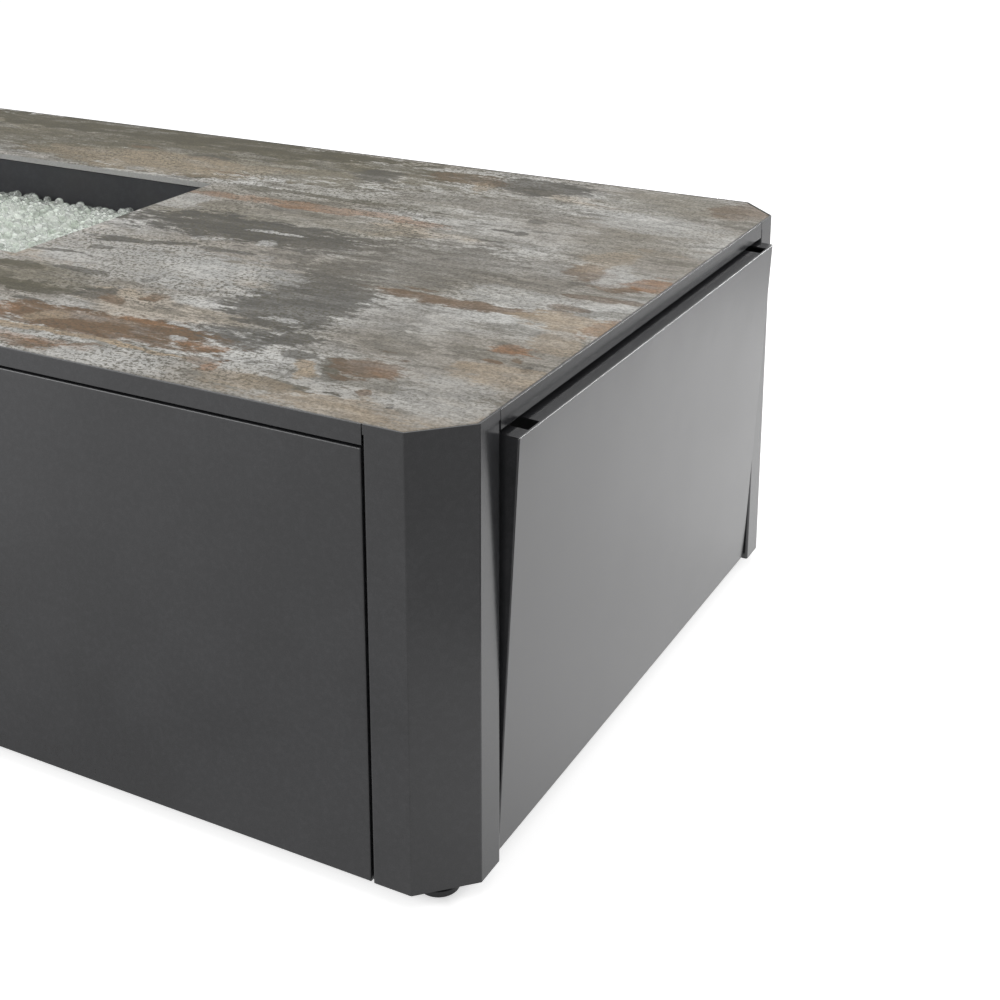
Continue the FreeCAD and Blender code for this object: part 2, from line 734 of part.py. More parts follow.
def make_thermocouple():
    """Thermocouple under the hood, with its lead to the back of the valve."""
    foot = V(HOOD_X - PROBE_GAP / 2, -PROBE_Y, PAN_Z - PROBE_FOOT)
    top = V(foot.x, foot.y, HOOD_TOP - PROBE_SHORT)
    neck = top - V(0, 0, PROBE_TIP)
    end = V(PANEL_X - VALVE_LENGTH, KNOB_Y + LEAD_SIDE, CONTROL_Z - LEAD_LOW)
    lead = tube_run(lead_route(foot, end), [0, LEAD_TURN, LEAD_BEND, LEAD_BEND, 0], LEAD_R)
    return rod(PROBE_R, foot, neck).fuse([rod(PROBE_TIP_R, neck, top), lead])


def electrode_foot():
    return V(HOOD_X + PROBE_GAP / 2, PROBE_Y, PAN_Z - SLEEVE_FOOT)


def make_electrode():
    """Spark electrode: a wire in a ceramic sleeve."""
    foot = electrode_foot()
    neck = foot + V(0, 0, SLEEVE_LENGTH)
    return rod(SLEEVE_R, foot, neck).fuse(rod(SPARK_R, neck, V(foot.x, foot.y, HOOD_TOP - SPARK_SHORT)))


def make_shield():
    """Heat shield slung under the pan from the well's side beams."""
    x = LINER_X - SHIELD_IN
    y = LINER_Y + SHEET + SIDE_BEAM_W
    outer = block(-x, x, -y - SHIELD, y + SHIELD, SHIELD_FLOOR, BEAM_TOP - SHIELD_HANG)
    return outer.cut(block(-x, x, -y, y, SHIELD_FLOOR + SHIELD, BEAM_TOP))


def bracket_spots():
    return [V(END_BEAM_X + BEAM_W / 2, y, CONTROL_TOP) for y in spread(CONTROL_HALF - BEAM_W, 4)]


def bracket_holes():
    through = V(0, 0, SHEET + CUT)
    holes = [rod(BRACKET_SCREW_R + HOLE_EASE, p - through, p + through) for p in bracket_spots()]
    return Part.makeCompound(holes)


def control(y, out):
    """Point on a control's axis, at a distance out from the bracket's back face."""
    return V(PANEL_X + out, y, CONTROL_Z)


def make_bracket():
    """Control bracket hung under the right end beam."""
    y = CONTROL_HALF
    face = PANEL_X + SHEET
    plate = block(PANEL_X, face, -y, y, CONTROL_LOW, CONTROL_TOP)
    flange = block(END_BEAM_X, face, -y, y, CONTROL_TOP - SHEET, CONTROL_TOP)
    fold = block(face - CONTROL_FOLD, face, -y, y, CONTROL_LOW, CONTROL_LOW + SHEET)
    body = plate.fuse([flange, fold]).cut(bracket_holes())
    for y, r in ((KNOB_Y, STEM_R + BEZEL), (BUTTON_Y, BUTTON_R + IGNITER_NECK_WALL + HOLE_EASE)):
        body = body.cut(rod(r, control(y, 0), control(y, SHEET)))
    return body.removeSplitter()


def make_bracket_screws():
    screws = []
    for p in bracket_spots():
        seat = p - V(0, 0, SHEET)
        shank = rod(BRACKET_SCREW_R, seat, seat + V(0, 0, BRACKET_SCREW_LENGTH))
        screws.append(shank.fuse(rod(SCREW_HEAD_R, seat - V(0, 0, BRACKET_SCREW_HEAD), seat)))
    return screws


def make_valve():
    """Gas valve body with a neck and the bore for its stem."""
    body = between(control(KNOB_Y, -VALVE_LENGTH) + V(0, -VALVE_HALF_W, -VALVE_HALF_H),
                   control(KNOB_Y, -VALVE_NECK) + V(0, VALVE_HALF_W, VALVE_HALF_H))
    body = rounded(body, VALVE_EDGE, lambda e: runs_along(e, "x"))
    body = body.fuse(rod(VALVE_NECK_R, control(KNOB_Y, -VALVE_NECK), control(KNOB_Y, 0)))
    return body.cut(rod(STEM_R + RUN, control(KNOB_Y, -BORE_DEPTH), control(KNOB_Y, 0))).removeSplitter()


def make_bezel():
    """Round plate under the knob."""
    start, face = control(KNOB_Y, SHEET), control(KNOB_Y, SHEET + BEZEL)
    disc = rounded(rod(BEZEL_R, start, face), BEZEL / 3, lambda e: on_plane(e, "x", face.x))
    return disc.cut(rod(STEM_R + BEZEL, start, face))


def make_stem():
    return rod(STEM_R, control(KNOB_Y, -STEM_DEPTH), control(KNOB_Y, SHEET + KNOB_STAND + KNOB_BORE))


def make_knob():
    """Control knob: a skirt, a round body and a raised grip."""
    start = control(KNOB_Y, SHEET + KNOB_STAND)
    neck = start + V(KNOB_SKIRT, 0, 0)
    face = neck + V(KNOB_BODY, 0, 0)
    half = KNOB_GRIP_R - GRIP_IN
    end = start.x + KNOB_LENGTH
    skirt = rounded(rod(KNOB_R, start, neck), GRIP_IN, lambda e: on_plane(e, "x", neck.x))
    grip = between(face - V(0, GRIP_W / 2, half), V(end, face.y + GRIP_W / 2, face.z + half))
    grip = rounded(grip, GRIP_W / 5, lambda e: on_plane(e, "x", end) or runs_along(e, "x"))
    knob = skirt.fuse([rod(KNOB_GRIP_R, neck, face), grip])
    return knob.cut(rod(STEM_R + RUN, start, start + V(KNOB_BORE, 0, 0))).removeSplitter()


def make_inlet():
    """Flare fitting on the valve's underside, where a gas hose is screwed on."""
    top = control(KNOB_Y, -INLET_IN) - V(0, 0, VALVE_HALF_H)
    neck = top - V(0, 0, INLET_HEX)
    end = neck - V(0, 0, INLET_LENGTH)
    body = hexagon(HEX_R, top, neck, 0).fuse(rod(INLET_R, neck, end))
    return body.fuse(Part.makeCone(INLET_R, FLARE_TIP_R, FLARE, end, V(0, 0, -1))).removeSplitter()


def outlet():
    return control(KNOB_Y, -VALVE_LENGTH) + V(0, 0, OUTLET_UP)


def make_outlet():
    """Outlet fitting and flare nut on the back of the valve."""
    start = outlet()
    seat = start - V(OUTLET_HEX, 0, 0)
    body = hexagon(HEX_R, start, seat, 0)
    return body.fuse(hexagon(FLARE_NUT_R, seat, seat - V(FLARE_NUT_LENGTH, 0, 0), 0)).removeSplitter()


def make_flex():
    """Flexible gas line from the valve to the orifice under the pan."""
    start = outlet() - V(OUTLET_HEX + FLARE_NUT_LENGTH, 0, 0)
    end = mixer_end() + V(HEX_LENGTH + FLARE_NUT_LENGTH, 0, 0)
    points = [start, start - V(FLEX_NEAR, 0, 0), V(start.x - FLEX_FAR, KNOB_Y, end.z), end]
    return tube_run(points, [0, FLEX_BEND, FLEX_BEND, 0], FLEX_R)


def make_wire():
    """Igniter wire from the module to the electrode."""
    route = lead_route(electrode_foot(), control(BUTTON_Y, -IGNITER_LENGTH))
    return tube_run(route, [0, LEAD_TURN, LEAD_BEND, LEAD_BEND, 0], LEAD_R)


def make_igniter():
    """Push-button spark module behind the control bracket."""
    neck = control(BUTTON_Y, IGNITER_NECK)
    body = rod(BUTTON_R + IGNITER_WALL, control(BUTTON_Y, -IGNITER_LENGTH), control(BUTTON_Y, 0))
    body = body.fuse(rod(BUTTON_R + IGNITER_NECK_WALL, control(BUTTON_Y, 0), neck))
    return body.cut(rod(BUTTON_R + RUN, control(BUTTON_Y, -BUTTON_BORE), neck)).removeSplitter()


def make_igniter_nut():
    start, end = control(BUTTON_Y, SHEET), control(BUTTON_Y, SHEET + IGNITER_NUT)
    return hexagon(IGNITER_NUT_R, start, end, BUTTON_R + IGNITER_NECK_WALL + HOLE_EASE)


def make_button():
    start = control(BUTTON_Y, BUTTON_STROKE + CUT - BUTTON_BORE)
    end = control(BUTTON_Y, BUTTON_OUT)
    return rounded(rod(BUTTON_R, start, end), GRIP_IN, lambda e: on_plane(e, "x", end.x))


def ajar(shape):
    """Turn a piece about the door's pivots from the shut pose to the ajar pose of the photo."""
    shape.rotate(V(PIVOT_X, 0, PIVOT_Z), V(0, 1, 0), AJAR)
    return shape


def make_door():
    """Door pan with folded returns; its top fold is notched for the latch brackets."""
    back, inside = DOOR_X - DOOR_RETURN, DOOR_HALF - SHEET
    outer = block(back, DOOR_X, -DOOR_HALF, DOOR_HALF, DOOR_LOW, DOOR_TOP)
    outer = rounded(outer, BEND / 2, lambda e: on_plane(e, "x", DOOR_X))
    body = outer.cut(block(back, DOOR_X - SHEET, -inside, inside, DOOR_LOW + SHEET, DOOR_TOP - SHEET))
    body = body.cut(block(back, DOOR_X - DOOR_SILL_RETURN, -inside, inside, DOOR_LOW, DOOR_LOW + SHEET))
    for s in (-1, 1):
        y0, y1 = s * LATCH_Y - NOTCH_W / 2, s * LATCH_Y + NOTCH_W / 2
        body = body.cut(block(back, DOOR_X - SHEET, y0, y1, DOOR_TOP - SHEET, DOOR_TOP))
    axle = rod(PIN_R, V(PIVOT_X, -HALF_Y, PIVOT_Z), V(PIVOT_X, HALF_Y, PIVOT_Z))
    return ajar(body.cut(axle))


def make_door_stiffeners():
    """Folded channels across the inside of the door, at its quarter heights."""
    channels = []
    face = DOOR_X - SHEET
    y = DOOR_HALF - DOOR_CHANNEL_IN
    for part in (1, 3):
        low = DOOR_LOW + (DOOR_TOP - DOOR_LOW) * part / 4 - DOOR_CHANNEL_W / 2
        high = low + DOOR_CHANNEL_W
        outer = block(face - DOOR_CHANNEL_D, face, -y, y, low, high)
        inner = block(face - DOOR_CHANNEL_D + SHEET, face, -y, y, low + SHEET, high - SHEET)
        channels.append(ajar(outer.cut(inner)))
    return channels


def make_strikes():
    """Steel plates on the door that the latch magnets hold."""
    face = DOOR_X - SHEET
    half = STRIKE_W / 2
    plates = []
    for s in (-1, 1):
        y = s * LATCH_Y
        plates.append(ajar(block(face - STRIKE, face, y - half, y + half, LATCH_Z - half, LATCH_Z + half)))
    return plates


def make_pins():
    """Headed pivot pins pressed into the door's side returns."""
    pins = []
    for s in (-1, 1):
        inner = V(PIVOT_X, s * (DOOR_HALF - SHEET), PIVOT_Z)
        outer = V(PIVOT_X, s * (END_END + PIN_REACH), PIVOT_Z)
        head = rod(PIN_HEAD_R, inner - V(0, s * PIN_HEAD, 0), inner)
        pins.append(ajar(rod(PIN_R, inner, outer).fuse(head)))
    return pins


def make_bushes():
    """Flanged bushes in the posts' lips that the pivot pins turn in."""
    bushes = []
    for s in (-1, 1):
        face = V(PIVOT_X, s * END_END, PIVOT_Z)
        start = face - V(0, s * BUSH_FLANGE, 0)
        end = face + V(0, s * BUSH_LENGTH, 0)
        body = rod(BUSH_R + BUSH_FLANGE_W, start, face).fuse(rod(BUSH_R, face, end))
        bushes.append(body.cut(rod(PIN_R + RUN, start, end)))
    return bushes


def make_latches():
    """Hollow latch housings that the plungers slide out of."""
    housings = []
    x0 = LATCH_FRONT - LATCH_LENGTH
    low, high = LATCH_Z - LATCH_H / 2, LATCH_Z + LATCH_H / 2
    for s in (-1, 1):
        y0, y1 = s * LATCH_Y - LATCH_W / 2, s * LATCH_Y + LATCH_W / 2
        body = block(x0, LATCH_FRONT, y0, y1, low, high)
        body = rounded(body, LATCH_WALL / 2, lambda e: runs_along(e, "x"))
        inside = block(x0 + LATCH_WALL, LATCH_FRONT - LATCH_WALL, y0 + LATCH_WALL, y1 - LATCH_WALL,
                       low + LATCH_WALL, high - LATCH_WALL)
        mouth = rod(LATCH_MOUTH_R, V(LATCH_FRONT - 2 * LATCH_WALL, s * LATCH_Y, LATCH_Z),
                    V(LATCH_FRONT, s * LATCH_Y, LATCH_Z))
        housings.append(body.cut(inside).cut(mouth))
    return housings


def make_latch_brackets():
    """Stepped brackets that hang the latch housings from the right top rail."""
    low = LATCH_Z + LATCH_H / 2
    step = HALF_X - RAIL_DEPTH - LATCH_STEP
    tail = step - LATCH_SEAT
    section = [(tail, low), (tail, low + SHEET), (step, low + SHEET), (step, RAIL_Z), (LATCH_FRONT, RAIL_Z),
               (LATCH_FRONT, RAIL_Z - SHEET), (step + SHEET, RAIL_Z - SHEET), (step + SHEET, low)]
    brackets = []
    for s in (-1, 1):
        y = s * LATCH_Y - LATCH_W / 2
        brackets.append(prism([V(x, y, z) for x, z in section], V(0, LATCH_W, 0)))
    return brackets


def make_plungers():
    plungers = []
    tip = DOOR_X - SHEET - STRIKE - MAGNET_T
    for s in (-1, 1):
        y = s * LATCH_Y
        plungers.append(ajar(rod(PLUNGER_R, V(tip - PLUNGER_LENGTH, y, LATCH_Z), V(tip, y, LATCH_Z))))
    return plungers


def make_magnets():
    """Magnet heads on the plungers, flat against the strike plates."""
    heads = []
    tip = DOOR_X - SHEET - STRIKE
    for s in (-1, 1):
        y = s * LATCH_Y
        heads.append(ajar(rod(MAGNET_R, V(tip - MAGNET_T, y, LATCH_Z), V(tip, y, LATCH_Z))))
    return heads


def make_gussets():
    """Corner plates that carry the levelling feet and the ends of the base rails."""
    side = CHAMFER + POST_SIDE - SHEET
    end = CHAMFER + POST_END - SHEET
    turn = CHAMFER + (math.sqrt(2) - 1) * SHEET
    arm = SIDE_LIP + LIP_GAP
    arm_end = END_LIP + LIP_GAP
    shape = [(turn, SHEET), (side, SHEET), (side, arm), (GUSSET_ARM, arm), (GUSSET_ARM, arm + GUSSET_SIDE_W),
             (arm_end + GUSSET_END_W, arm + GUSSET_SIDE_W), (arm_end + GUSSET_END_W, GUSSET_ARM),
             (arm_end, GUSSET_ARM), (arm_end, end), (SHEET, end), (SHEET, turn)]
    plates = []
    for _, sx, sy in CORNERS:
        plate = prism([corner(sx, sy, u, v, GUSSET_Z) for u, v in shape], V(0, 0, GUSSET))
        centre = corner(sx, sy, FOOT_IN, FOOT_IN, GUSSET_Z)
        plates.append(plate.cut(rod(STEM_FOOT_R + STEM_HOLE, centre, centre + V(0, 0, GUSSET))))
    return plates


def make_nuts():
    """Nuts on the gussets that the levelling feet screw into."""
    nuts = []
    for _, sx, sy in CORNERS:
        seat = corner(sx, sy, FOOT_IN, FOOT_IN, GUSSET_Z + GUSSET)
        nuts.append(hexagon(NUT_R, seat, seat + V(0, 0, NUT_H), STEM_FOOT_R + RUN))
    return nuts


def make_leveller(sx, sy):
    """Levelling foot: a round glide, its cone and the stem."""
    centre = corner(sx, sy, FOOT_IN, FOOT_IN, 0)
    edge = centre + V(0, 0, FOOT_EDGE)
    glide = rounded(rod(FOOT_R, centre, edge), FOOT_ROUND, lambda e: not runs_along(e, "z"))
    cone = Part.makeCone(FOOT_R - FOOT_CONE_IN, FOOT_COLLAR_R, FOOT_CONE, edge, V(0, 0, 1))
    stem = rod(STEM_FOOT_R, edge + V(0, 0, FOOT_CONE), centre + V(0, 0, STEM_TOP))
    return glide.fuse([cone, stem]).removeSplitter()


def make_base_rail(side):
    """Angle along the foot of one side, on the gussets' arms."""
    lip = SIDE_LIP if side in ("front", "back") else END_LIP
    half = (HALF_X if side in ("front", "back") else HALF_Y) - BASE_IN
    low = GUSSET_Z + GUSSET
    start = at(side, lip + BASE_LIP_GAP, -half, low)
    leg = between(start, at(side, lip + BASE_LIP_GAP + BASE_LEG_T, half, low + BASE_LEG))
    foot = between(start, at(side, lip + BASE_LIP_GAP + BASE_LEG, half, low + BASE_LEG_T))
    return leg.fuse(foot).removeSplitter()


def export(name, shapes):
    """Write one node, as one solid or as a set of separate solids."""
    shape = shapes[0] if len(shapes) == 1 else Part.makeCompound(shapes)
    shape.exportStep("parts/" + name + ".step")


def build_case():
    for name, sx, sy in CORNERS:
        export("post_" + name, [make_post(sx, sy)])
        export("leveller_" + name, [make_leveller(sx, sy)])
    for side in SIDES:
        half = SIDE_END if side in ("front", "back") else END_END
        export("top_rail_" + side, [make_rail(side, half - SEAM)])
    for side in ("front", "back", "left"):
        export("panel_" + side, [make_panel(side)])
    export("base_rails", [make_base_rail(side) for side in ("front", "back", "left")])
    export("door_sill", [make_base_rail("right")])
    export("slab_top", [make_slab()])
    export("slab_pads", make_pads())
    export("panel_stiffeners", make_stiffeners())
    export("panel_spacers", make_spacers())
    export("panel_screws", make_screws())
    export("cross_beams", make_cross_beams())
    export("well_side_beams", make_side_beams())
    export("corner_gussets", make_gussets())
    export("leveller_nuts", make_nuts())


def build_burner():
    export("well_liner", [make_liner()])
    export("burner_pan", [make_pan()])
    export("burner_loop", [make_burner()])
    export("feed_locknuts", make_locknuts())
    export("feed_elbow", [make_elbow()])
    export("air_mixer", [make_mixer()])
    export("orifice_fitting", [make_orifice()])
    export("glass_media", [make_bed()])
    export("pilot_hood", [make_hood()])
    export("thermocouple", [make_thermocouple()])
    export("spark_electrode", [make_electrode()])
    export("heat_shield", [make_shield()])


def build_controls():
    export("control_bracket", [make_bracket()])
    export("bracket_screws", make_bracket_screws())
    export("gas_valve", [make_valve()])
    export("knob_bezel", [make_bezel()])
    export("valve_stem", [make_stem()])
    export("control_knob", [make_knob()])
    export("gas_inlet", [make_inlet()])
    export("gas_outlet", [make_outlet()])
    export("gas_flex_line", [make_flex()])
    export("igniter_wire", [make_wire()])
    export("igniter_module", [make_igniter()])
    export("igniter_nut", [make_igniter_nut()])
    export("igniter_button", [make_button()])


def build_door():
    export("door_panel", [make_door()])
    export("door_stiffeners", make_door_stiffeners())
    export("door_strikes", make_strikes())
    export("door_pivot_pins", make_pins())
    export("pivot_bushes", make_bushes())
    export("latch_housings", make_latches())
    export("latch_brackets", make_latch_brackets())
    export("latch_plungers", make_plungers())
    export("latch_magnets", make_magnets())


build_case()
build_burner()
build_controls()
build_door()
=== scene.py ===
"""Dresses the fire pit table: its finishes, its glass beads, the gas line behind its door and the stage."""

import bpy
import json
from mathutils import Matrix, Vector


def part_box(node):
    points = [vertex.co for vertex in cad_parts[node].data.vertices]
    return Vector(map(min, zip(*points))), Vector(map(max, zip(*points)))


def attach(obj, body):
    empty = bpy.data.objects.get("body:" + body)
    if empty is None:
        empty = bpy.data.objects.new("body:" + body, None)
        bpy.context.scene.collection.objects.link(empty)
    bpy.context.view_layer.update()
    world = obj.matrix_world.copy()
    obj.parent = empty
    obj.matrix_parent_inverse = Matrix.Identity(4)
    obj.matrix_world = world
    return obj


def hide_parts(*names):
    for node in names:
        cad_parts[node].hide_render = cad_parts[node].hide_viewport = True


bl_info = {
    "name": "Fire Pit Table",
    "version": (1, 0, 0),
    "blender": (4, 5, 0),
    "location": "3D View > Sidebar > Fire Table",
    "description": "Finishes, glass beads, gas line and stage for a fire pit table",
    "category": "Object",
}

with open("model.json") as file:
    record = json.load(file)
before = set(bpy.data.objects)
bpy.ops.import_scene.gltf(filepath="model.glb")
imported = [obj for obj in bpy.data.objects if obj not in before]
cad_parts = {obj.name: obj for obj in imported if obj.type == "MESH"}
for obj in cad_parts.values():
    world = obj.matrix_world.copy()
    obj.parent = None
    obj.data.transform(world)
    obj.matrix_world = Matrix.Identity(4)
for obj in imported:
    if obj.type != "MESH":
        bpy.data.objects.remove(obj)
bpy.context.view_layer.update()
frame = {"nodes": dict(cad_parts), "record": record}

import json
import math
import random

import bmesh
import bpy
from bpy.props import FloatProperty, FloatVectorProperty, IntProperty, PointerProperty
from bpy.types import Operator, Panel, PropertyGroup
from mathutils import Euler, Matrix, Vector
from mathutils.bvhtree import BVHTree

MILLIMETRE = 0.001
SLAB_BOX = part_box("slab_top")
BED_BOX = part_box("glass_media")
HOOD_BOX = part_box("pilot_hood")

# The camera: its place in metres, its pitch and turn in degrees, its lens in sensor widths and its shift.
CAMERA_PLACE = (1.5023, -1.3441, 0.8966)
CAMERA_PITCH, CAMERA_TURN = 15.475, 27.921
CAMERA_LENS, CAMERA_SHIFT = 1.626, -0.28

# Each lamp: its place, the point that it is turned to and the length of its sides, in metres.
LAMPS = {
    "top": ((0.0, 0.6, 2.7), (0.15, 0, 0.25), 2.6),
    "front": ((-1.3, -2.4, 1.3), (0.3, -0.7, 0), 1.8),
    "end": ((2.4, 1.4, 0.9), (1.25, 0.6, 0), 1.4),
    "glint": ((2.59, 2.85, 0.35), (0.967, 0.0, 0.40), 1.4),
}
GLINT_HEIGHT = 0.3

# The floor that the door mirrors, painted for reflections only: a pale patch that glows round its middle, a
# painted reflection of light, and black beyond a line that slants, a painted dark reflection.
MIRRORED_MIDDLE = (1.2, 0.45, 0)
MIRRORED_NEAR, MIRRORED_FAR = 0.45, 1.20
REFLECTION_SLANT = -0.06
DARK_REFLECTION_START, DARK_REFLECTION_FULL = 1.34, 1.42

# Heights in metres at which a finish changes along a piece.
GLIDE_TOP = 0.0102
SLEEVE_TOP = 0.3485
PROBE_LOW, PROBE_HIGH = 0.332, 0.334
STRAW_LOW, STRAW_HIGH = 0.362, 0.382
BLUE_LOW, BLUE_HIGH = 0.384, 0.401


def tint(name, text, colour):
    """A colour that the sidebar shows."""
    return FloatVectorProperty(
        name=name, description=text, subtype="COLOR", size=3, min=0, max=1, default=colour)


def length(name, text, metres):
    """A length that the sidebar shows."""
    return FloatProperty(name=name, description=text, default=metres, min=0, unit="LENGTH", precision=4)


class FireTableFinishes(PropertyGroup):
    """Colours and textures of the paint, the slab and the glass."""

    coat: tint("Powder coat", "Colour of the panels, posts and rails", (0.0330, 0.0335, 0.0360))
    black: tint("Frame black", "Colour of the inner frame", (0.018, 0.018, 0.019))
    liner: tint("Well paint", "Colour of the heat-resistant paint in the well", (0.046, 0.047, 0.052))
    glass: tint("Glass", "Colour of the glass beads", (0.955, 1.0, 0.94))
    slab_light: tint("Slab grey", "Lightest grey of the slab", (0.530, 0.523, 0.502))
    slab_warm: tint("Slab taupe", "Warm grey of the slab", (0.315, 0.292, 0.258))
    slab_body: tint("Slab edge", "Colour of the slab's cut edges", (0.430, 0.425, 0.415))
    slab_roughness: FloatProperty(
        name="Slab roughness", description="Roughness of the glaze", default=0.58, min=0, max=1,
        subtype="FACTOR")
    coat_roughness: FloatProperty(
        name="Coat roughness", description="Roughness of the powder coat", default=0.20, min=0, max=1,
        subtype="FACTOR")
    grain: length("Coat grain", "Size of the grain in the powder coat", 0.0008)


class FireTableBeads(PropertyGroup):
    """The glass beads in the burner."""

    radius: length("Bead radius", "Mean radius of a bead", 0.0064)
    pitch: length("Bead pitch", "Distance between neighbours in a row", 0.0112)
    proud: length("Proud beads", "How far the highest beads stand out of the heap", 0.0050)
    sunk: length("Sunk beads", "How far the lowest beads on top lie in the heap", 0.0028)
    layer_drop: length("Layer drop", "How far the second layer lies below the first", 0.0080)
    seed: IntProperty(name="Seed", description="Picks another heap of beads", default=11, min=0)


class FireTableDetails(PropertyGroup):
    """Small parts behind the door."""

    line_radius: length("Gas line radius", "Outer radius of the corrugated line", 0.007)
    line_groove: length("Groove depth", "Depth of the corrugations", 0.0012)
    line_pitch: length("Corrugation pitch", "Distance between corrugations", 0.0045)
    mark_colour: tint("Mark colour", "Colour of the pointer on the knob", (0.80, 0.80, 0.78))


class FireTableStage(PropertyGroup):
    """Floor, light and camera."""

    floor: tint("Floor", "Colour of the floor", (0.80, 0.80, 0.80))
    lift: FloatProperty(
        name="Floor lift", description="Light added to the floor where it is looked at", default=0.70, min=0)
    # Painted reflection: the glow that the floor has in reflections only, round the patch that the door
    # mirrors.
    shine: FloatProperty(
        name="Floor shine", description="Light added to the floor by the door in reflections", default=0.88,
        min=0)
    sky: FloatProperty(
        name="Sky", description="Strength of the soft light from all round", default=0.40, min=0)
    top_lamp: FloatProperty(
        name="Top lamp", description="Power of the lamp overhead", default=33, min=0, unit="POWER")
    front_lamp: FloatProperty(
        name="Front lamp", description="Power of the lamp at the front", default=37, min=0, unit="POWER")
    end_lamp: FloatProperty(
        name="End lamp", description="Power of the lamp at the door's end", default=16, min=0, unit="POWER")
    glint_lamp: FloatProperty(
        name="Glint lamp", description="Power of the lamp that lines the door's top fold", default=36, min=0,
        unit="POWER")


class FireTableSettings(PropertyGroup):
    """Everything that the sidebar lists."""

    finishes: PointerProperty(type=FireTableFinishes)
    beads: PointerProperty(type=FireTableBeads)
    details: PointerProperty(type=FireTableDetails)
    stage: PointerProperty(type=FireTableStage)


class Finish:
    """A material whose textures read the piece's own coordinates."""

    def __init__(self, name):
        self.material = bpy.data.materials.new(name)
        self.material.use_nodes = True
        self.tree = self.material.node_tree
        self.shader = self.tree.nodes["Principled BSDF"]
        self.place = self.node("ShaderNodeTexCoord").outputs["Object"]

    def node(self, kind, **settings):
        made = self.tree.nodes.new(kind)
        for key, value in settings.items():
            setattr(made, key, value)
        return made

    def put(self, socket, value):
        if isinstance(value, bpy.types.NodeSocket):
            self.tree.links.new(value, socket)
        elif getattr(socket, "type", "") == "RGBA" and len(value) == 3:
            socket.default_value = (*value, 1)
        else:
            socket.default_value = value

    def set(self, **values):
        """Sets the shader's own sockets, with underscores for the spaces in their names."""
        for key, value in values.items():
            self.put(self.shader.inputs[key.replace("_", " ")], value)

    def stretch(self, scale, turn=0.0, shift=(0, 0, 0), source=None):
        mapping = self.node("ShaderNodeMapping")
        self.put(mapping.inputs["Vector"], source or self.place)
        mapping.inputs["Scale"].default_value = scale
        mapping.inputs["Rotation"].default_value = (0, 0, turn)
        mapping.inputs["Location"].default_value = shift
        return mapping.outputs["Vector"]

    def noise(self, scale, source=None, detail=3.0, rough=0.5, colour=False):
        texture = self.node("ShaderNodeTexNoise")
        self.put(texture.inputs["Vector"], source or self.place)
        texture.inputs["Scale"].default_value = scale
        texture.inputs["Detail"].default_value = detail
        texture.inputs["Roughness"].default_value = rough
        return texture.outputs["Color" if colour else "Fac"]

    def cells(self, scale, output="Distance"):
        texture = self.node("ShaderNodeTexVoronoi")
        self.put(texture.inputs["Vector"], self.place)
        texture.inputs["Scale"].default_value = scale
        return texture.outputs[output]

    def fade(self, value, low, high, to_low=0.0, to_high=1.0):
        """Goes smoothly from to_low at low to to_high at high."""
        mapped = self.node("ShaderNodeMapRange", interpolation_type="SMOOTHSTEP")
        self.put(mapped.inputs["Value"], value)
        for key, number in (("From Min", low), ("From Max", high), ("To Min", to_low), ("To Max", to_high)):
            mapped.inputs[key].default_value = number
        return mapped.outputs["Result"]

    def mix(self, share, first, second, blend="MIX"):
        mixed = self.node("ShaderNodeMix", data_type="RGBA", blend_type=blend)
        self.put(mixed.inputs[0], share)
        self.put(mixed.inputs[6], first)
        self.put(mixed.inputs[7], second)
        return mixed.outputs[2]

    def swap(self, share, first, second):
        """The first vector where share is 0 and the second where it is 1."""
        mixed = self.node("ShaderNodeMix", data_type="VECTOR")
        self.put(mixed.inputs[0], share)
        self.put(mixed.inputs[4], first)
        self.put(mixed.inputs[5], second)
        return mixed.outputs[1]

    def math(self, operation, first, second=0.0, third=0.0):
        done = self.node("ShaderNodeMath", operation=operation)
        for socket, value in zip(done.inputs, (first, second, third)):
            self.put(socket, value)
        return done.outputs[0]

    def vector(self, operation, first, second=(0, 0, 0)):
        done = self.node("ShaderNodeVectorMath", operation=operation)
        self.put(done.inputs[0], first)
        self.put(done.inputs[1], second)
        return done.outputs["Value" if operation == "DISTANCE" else "Vector"]

    def axis(self, letter, source=None):
        split = self.node("ShaderNodeSeparateXYZ")
        self.put(split.inputs[0], source or self.place)
        return split.outputs[letter]

    def shade(self, share, colour, least, most):
        """The colour, darkened to least and lightened to most as share goes from 0 to 1."""
        grey = self.fade(share, 0.0, 1.0, least, most)
        return self.vector("MULTIPLY", colour, self.grey(grey))

    def colour(self):
        """The colour that the shader has so far, for marks and tarnish to change."""
        return self.shader.inputs["Base Color"].links[0].from_socket

    def grey(self, value):
        joined = self.node("ShaderNodeCombineXYZ")
        for socket in joined.inputs:
            self.put(socket, value)
        return joined.outputs[0]

    def flat(self, colour):
        """A plain colour as a socket, for a texture to change."""
        return self.mix(0.0, colour, colour)

    def bump(self, height, depth, strength=1.0, before=None):
        made = self.node("ShaderNodeBump")
        self.put(made.inputs["Height"], height)
        made.inputs["Distance"].default_value = depth
        made.inputs["Strength"].default_value = strength
        if before:
            self.put(made.inputs["Normal"], before)
        self.put(self.shader.inputs["Normal"], made.outputs["Normal"])
        return made.outputs["Normal"]


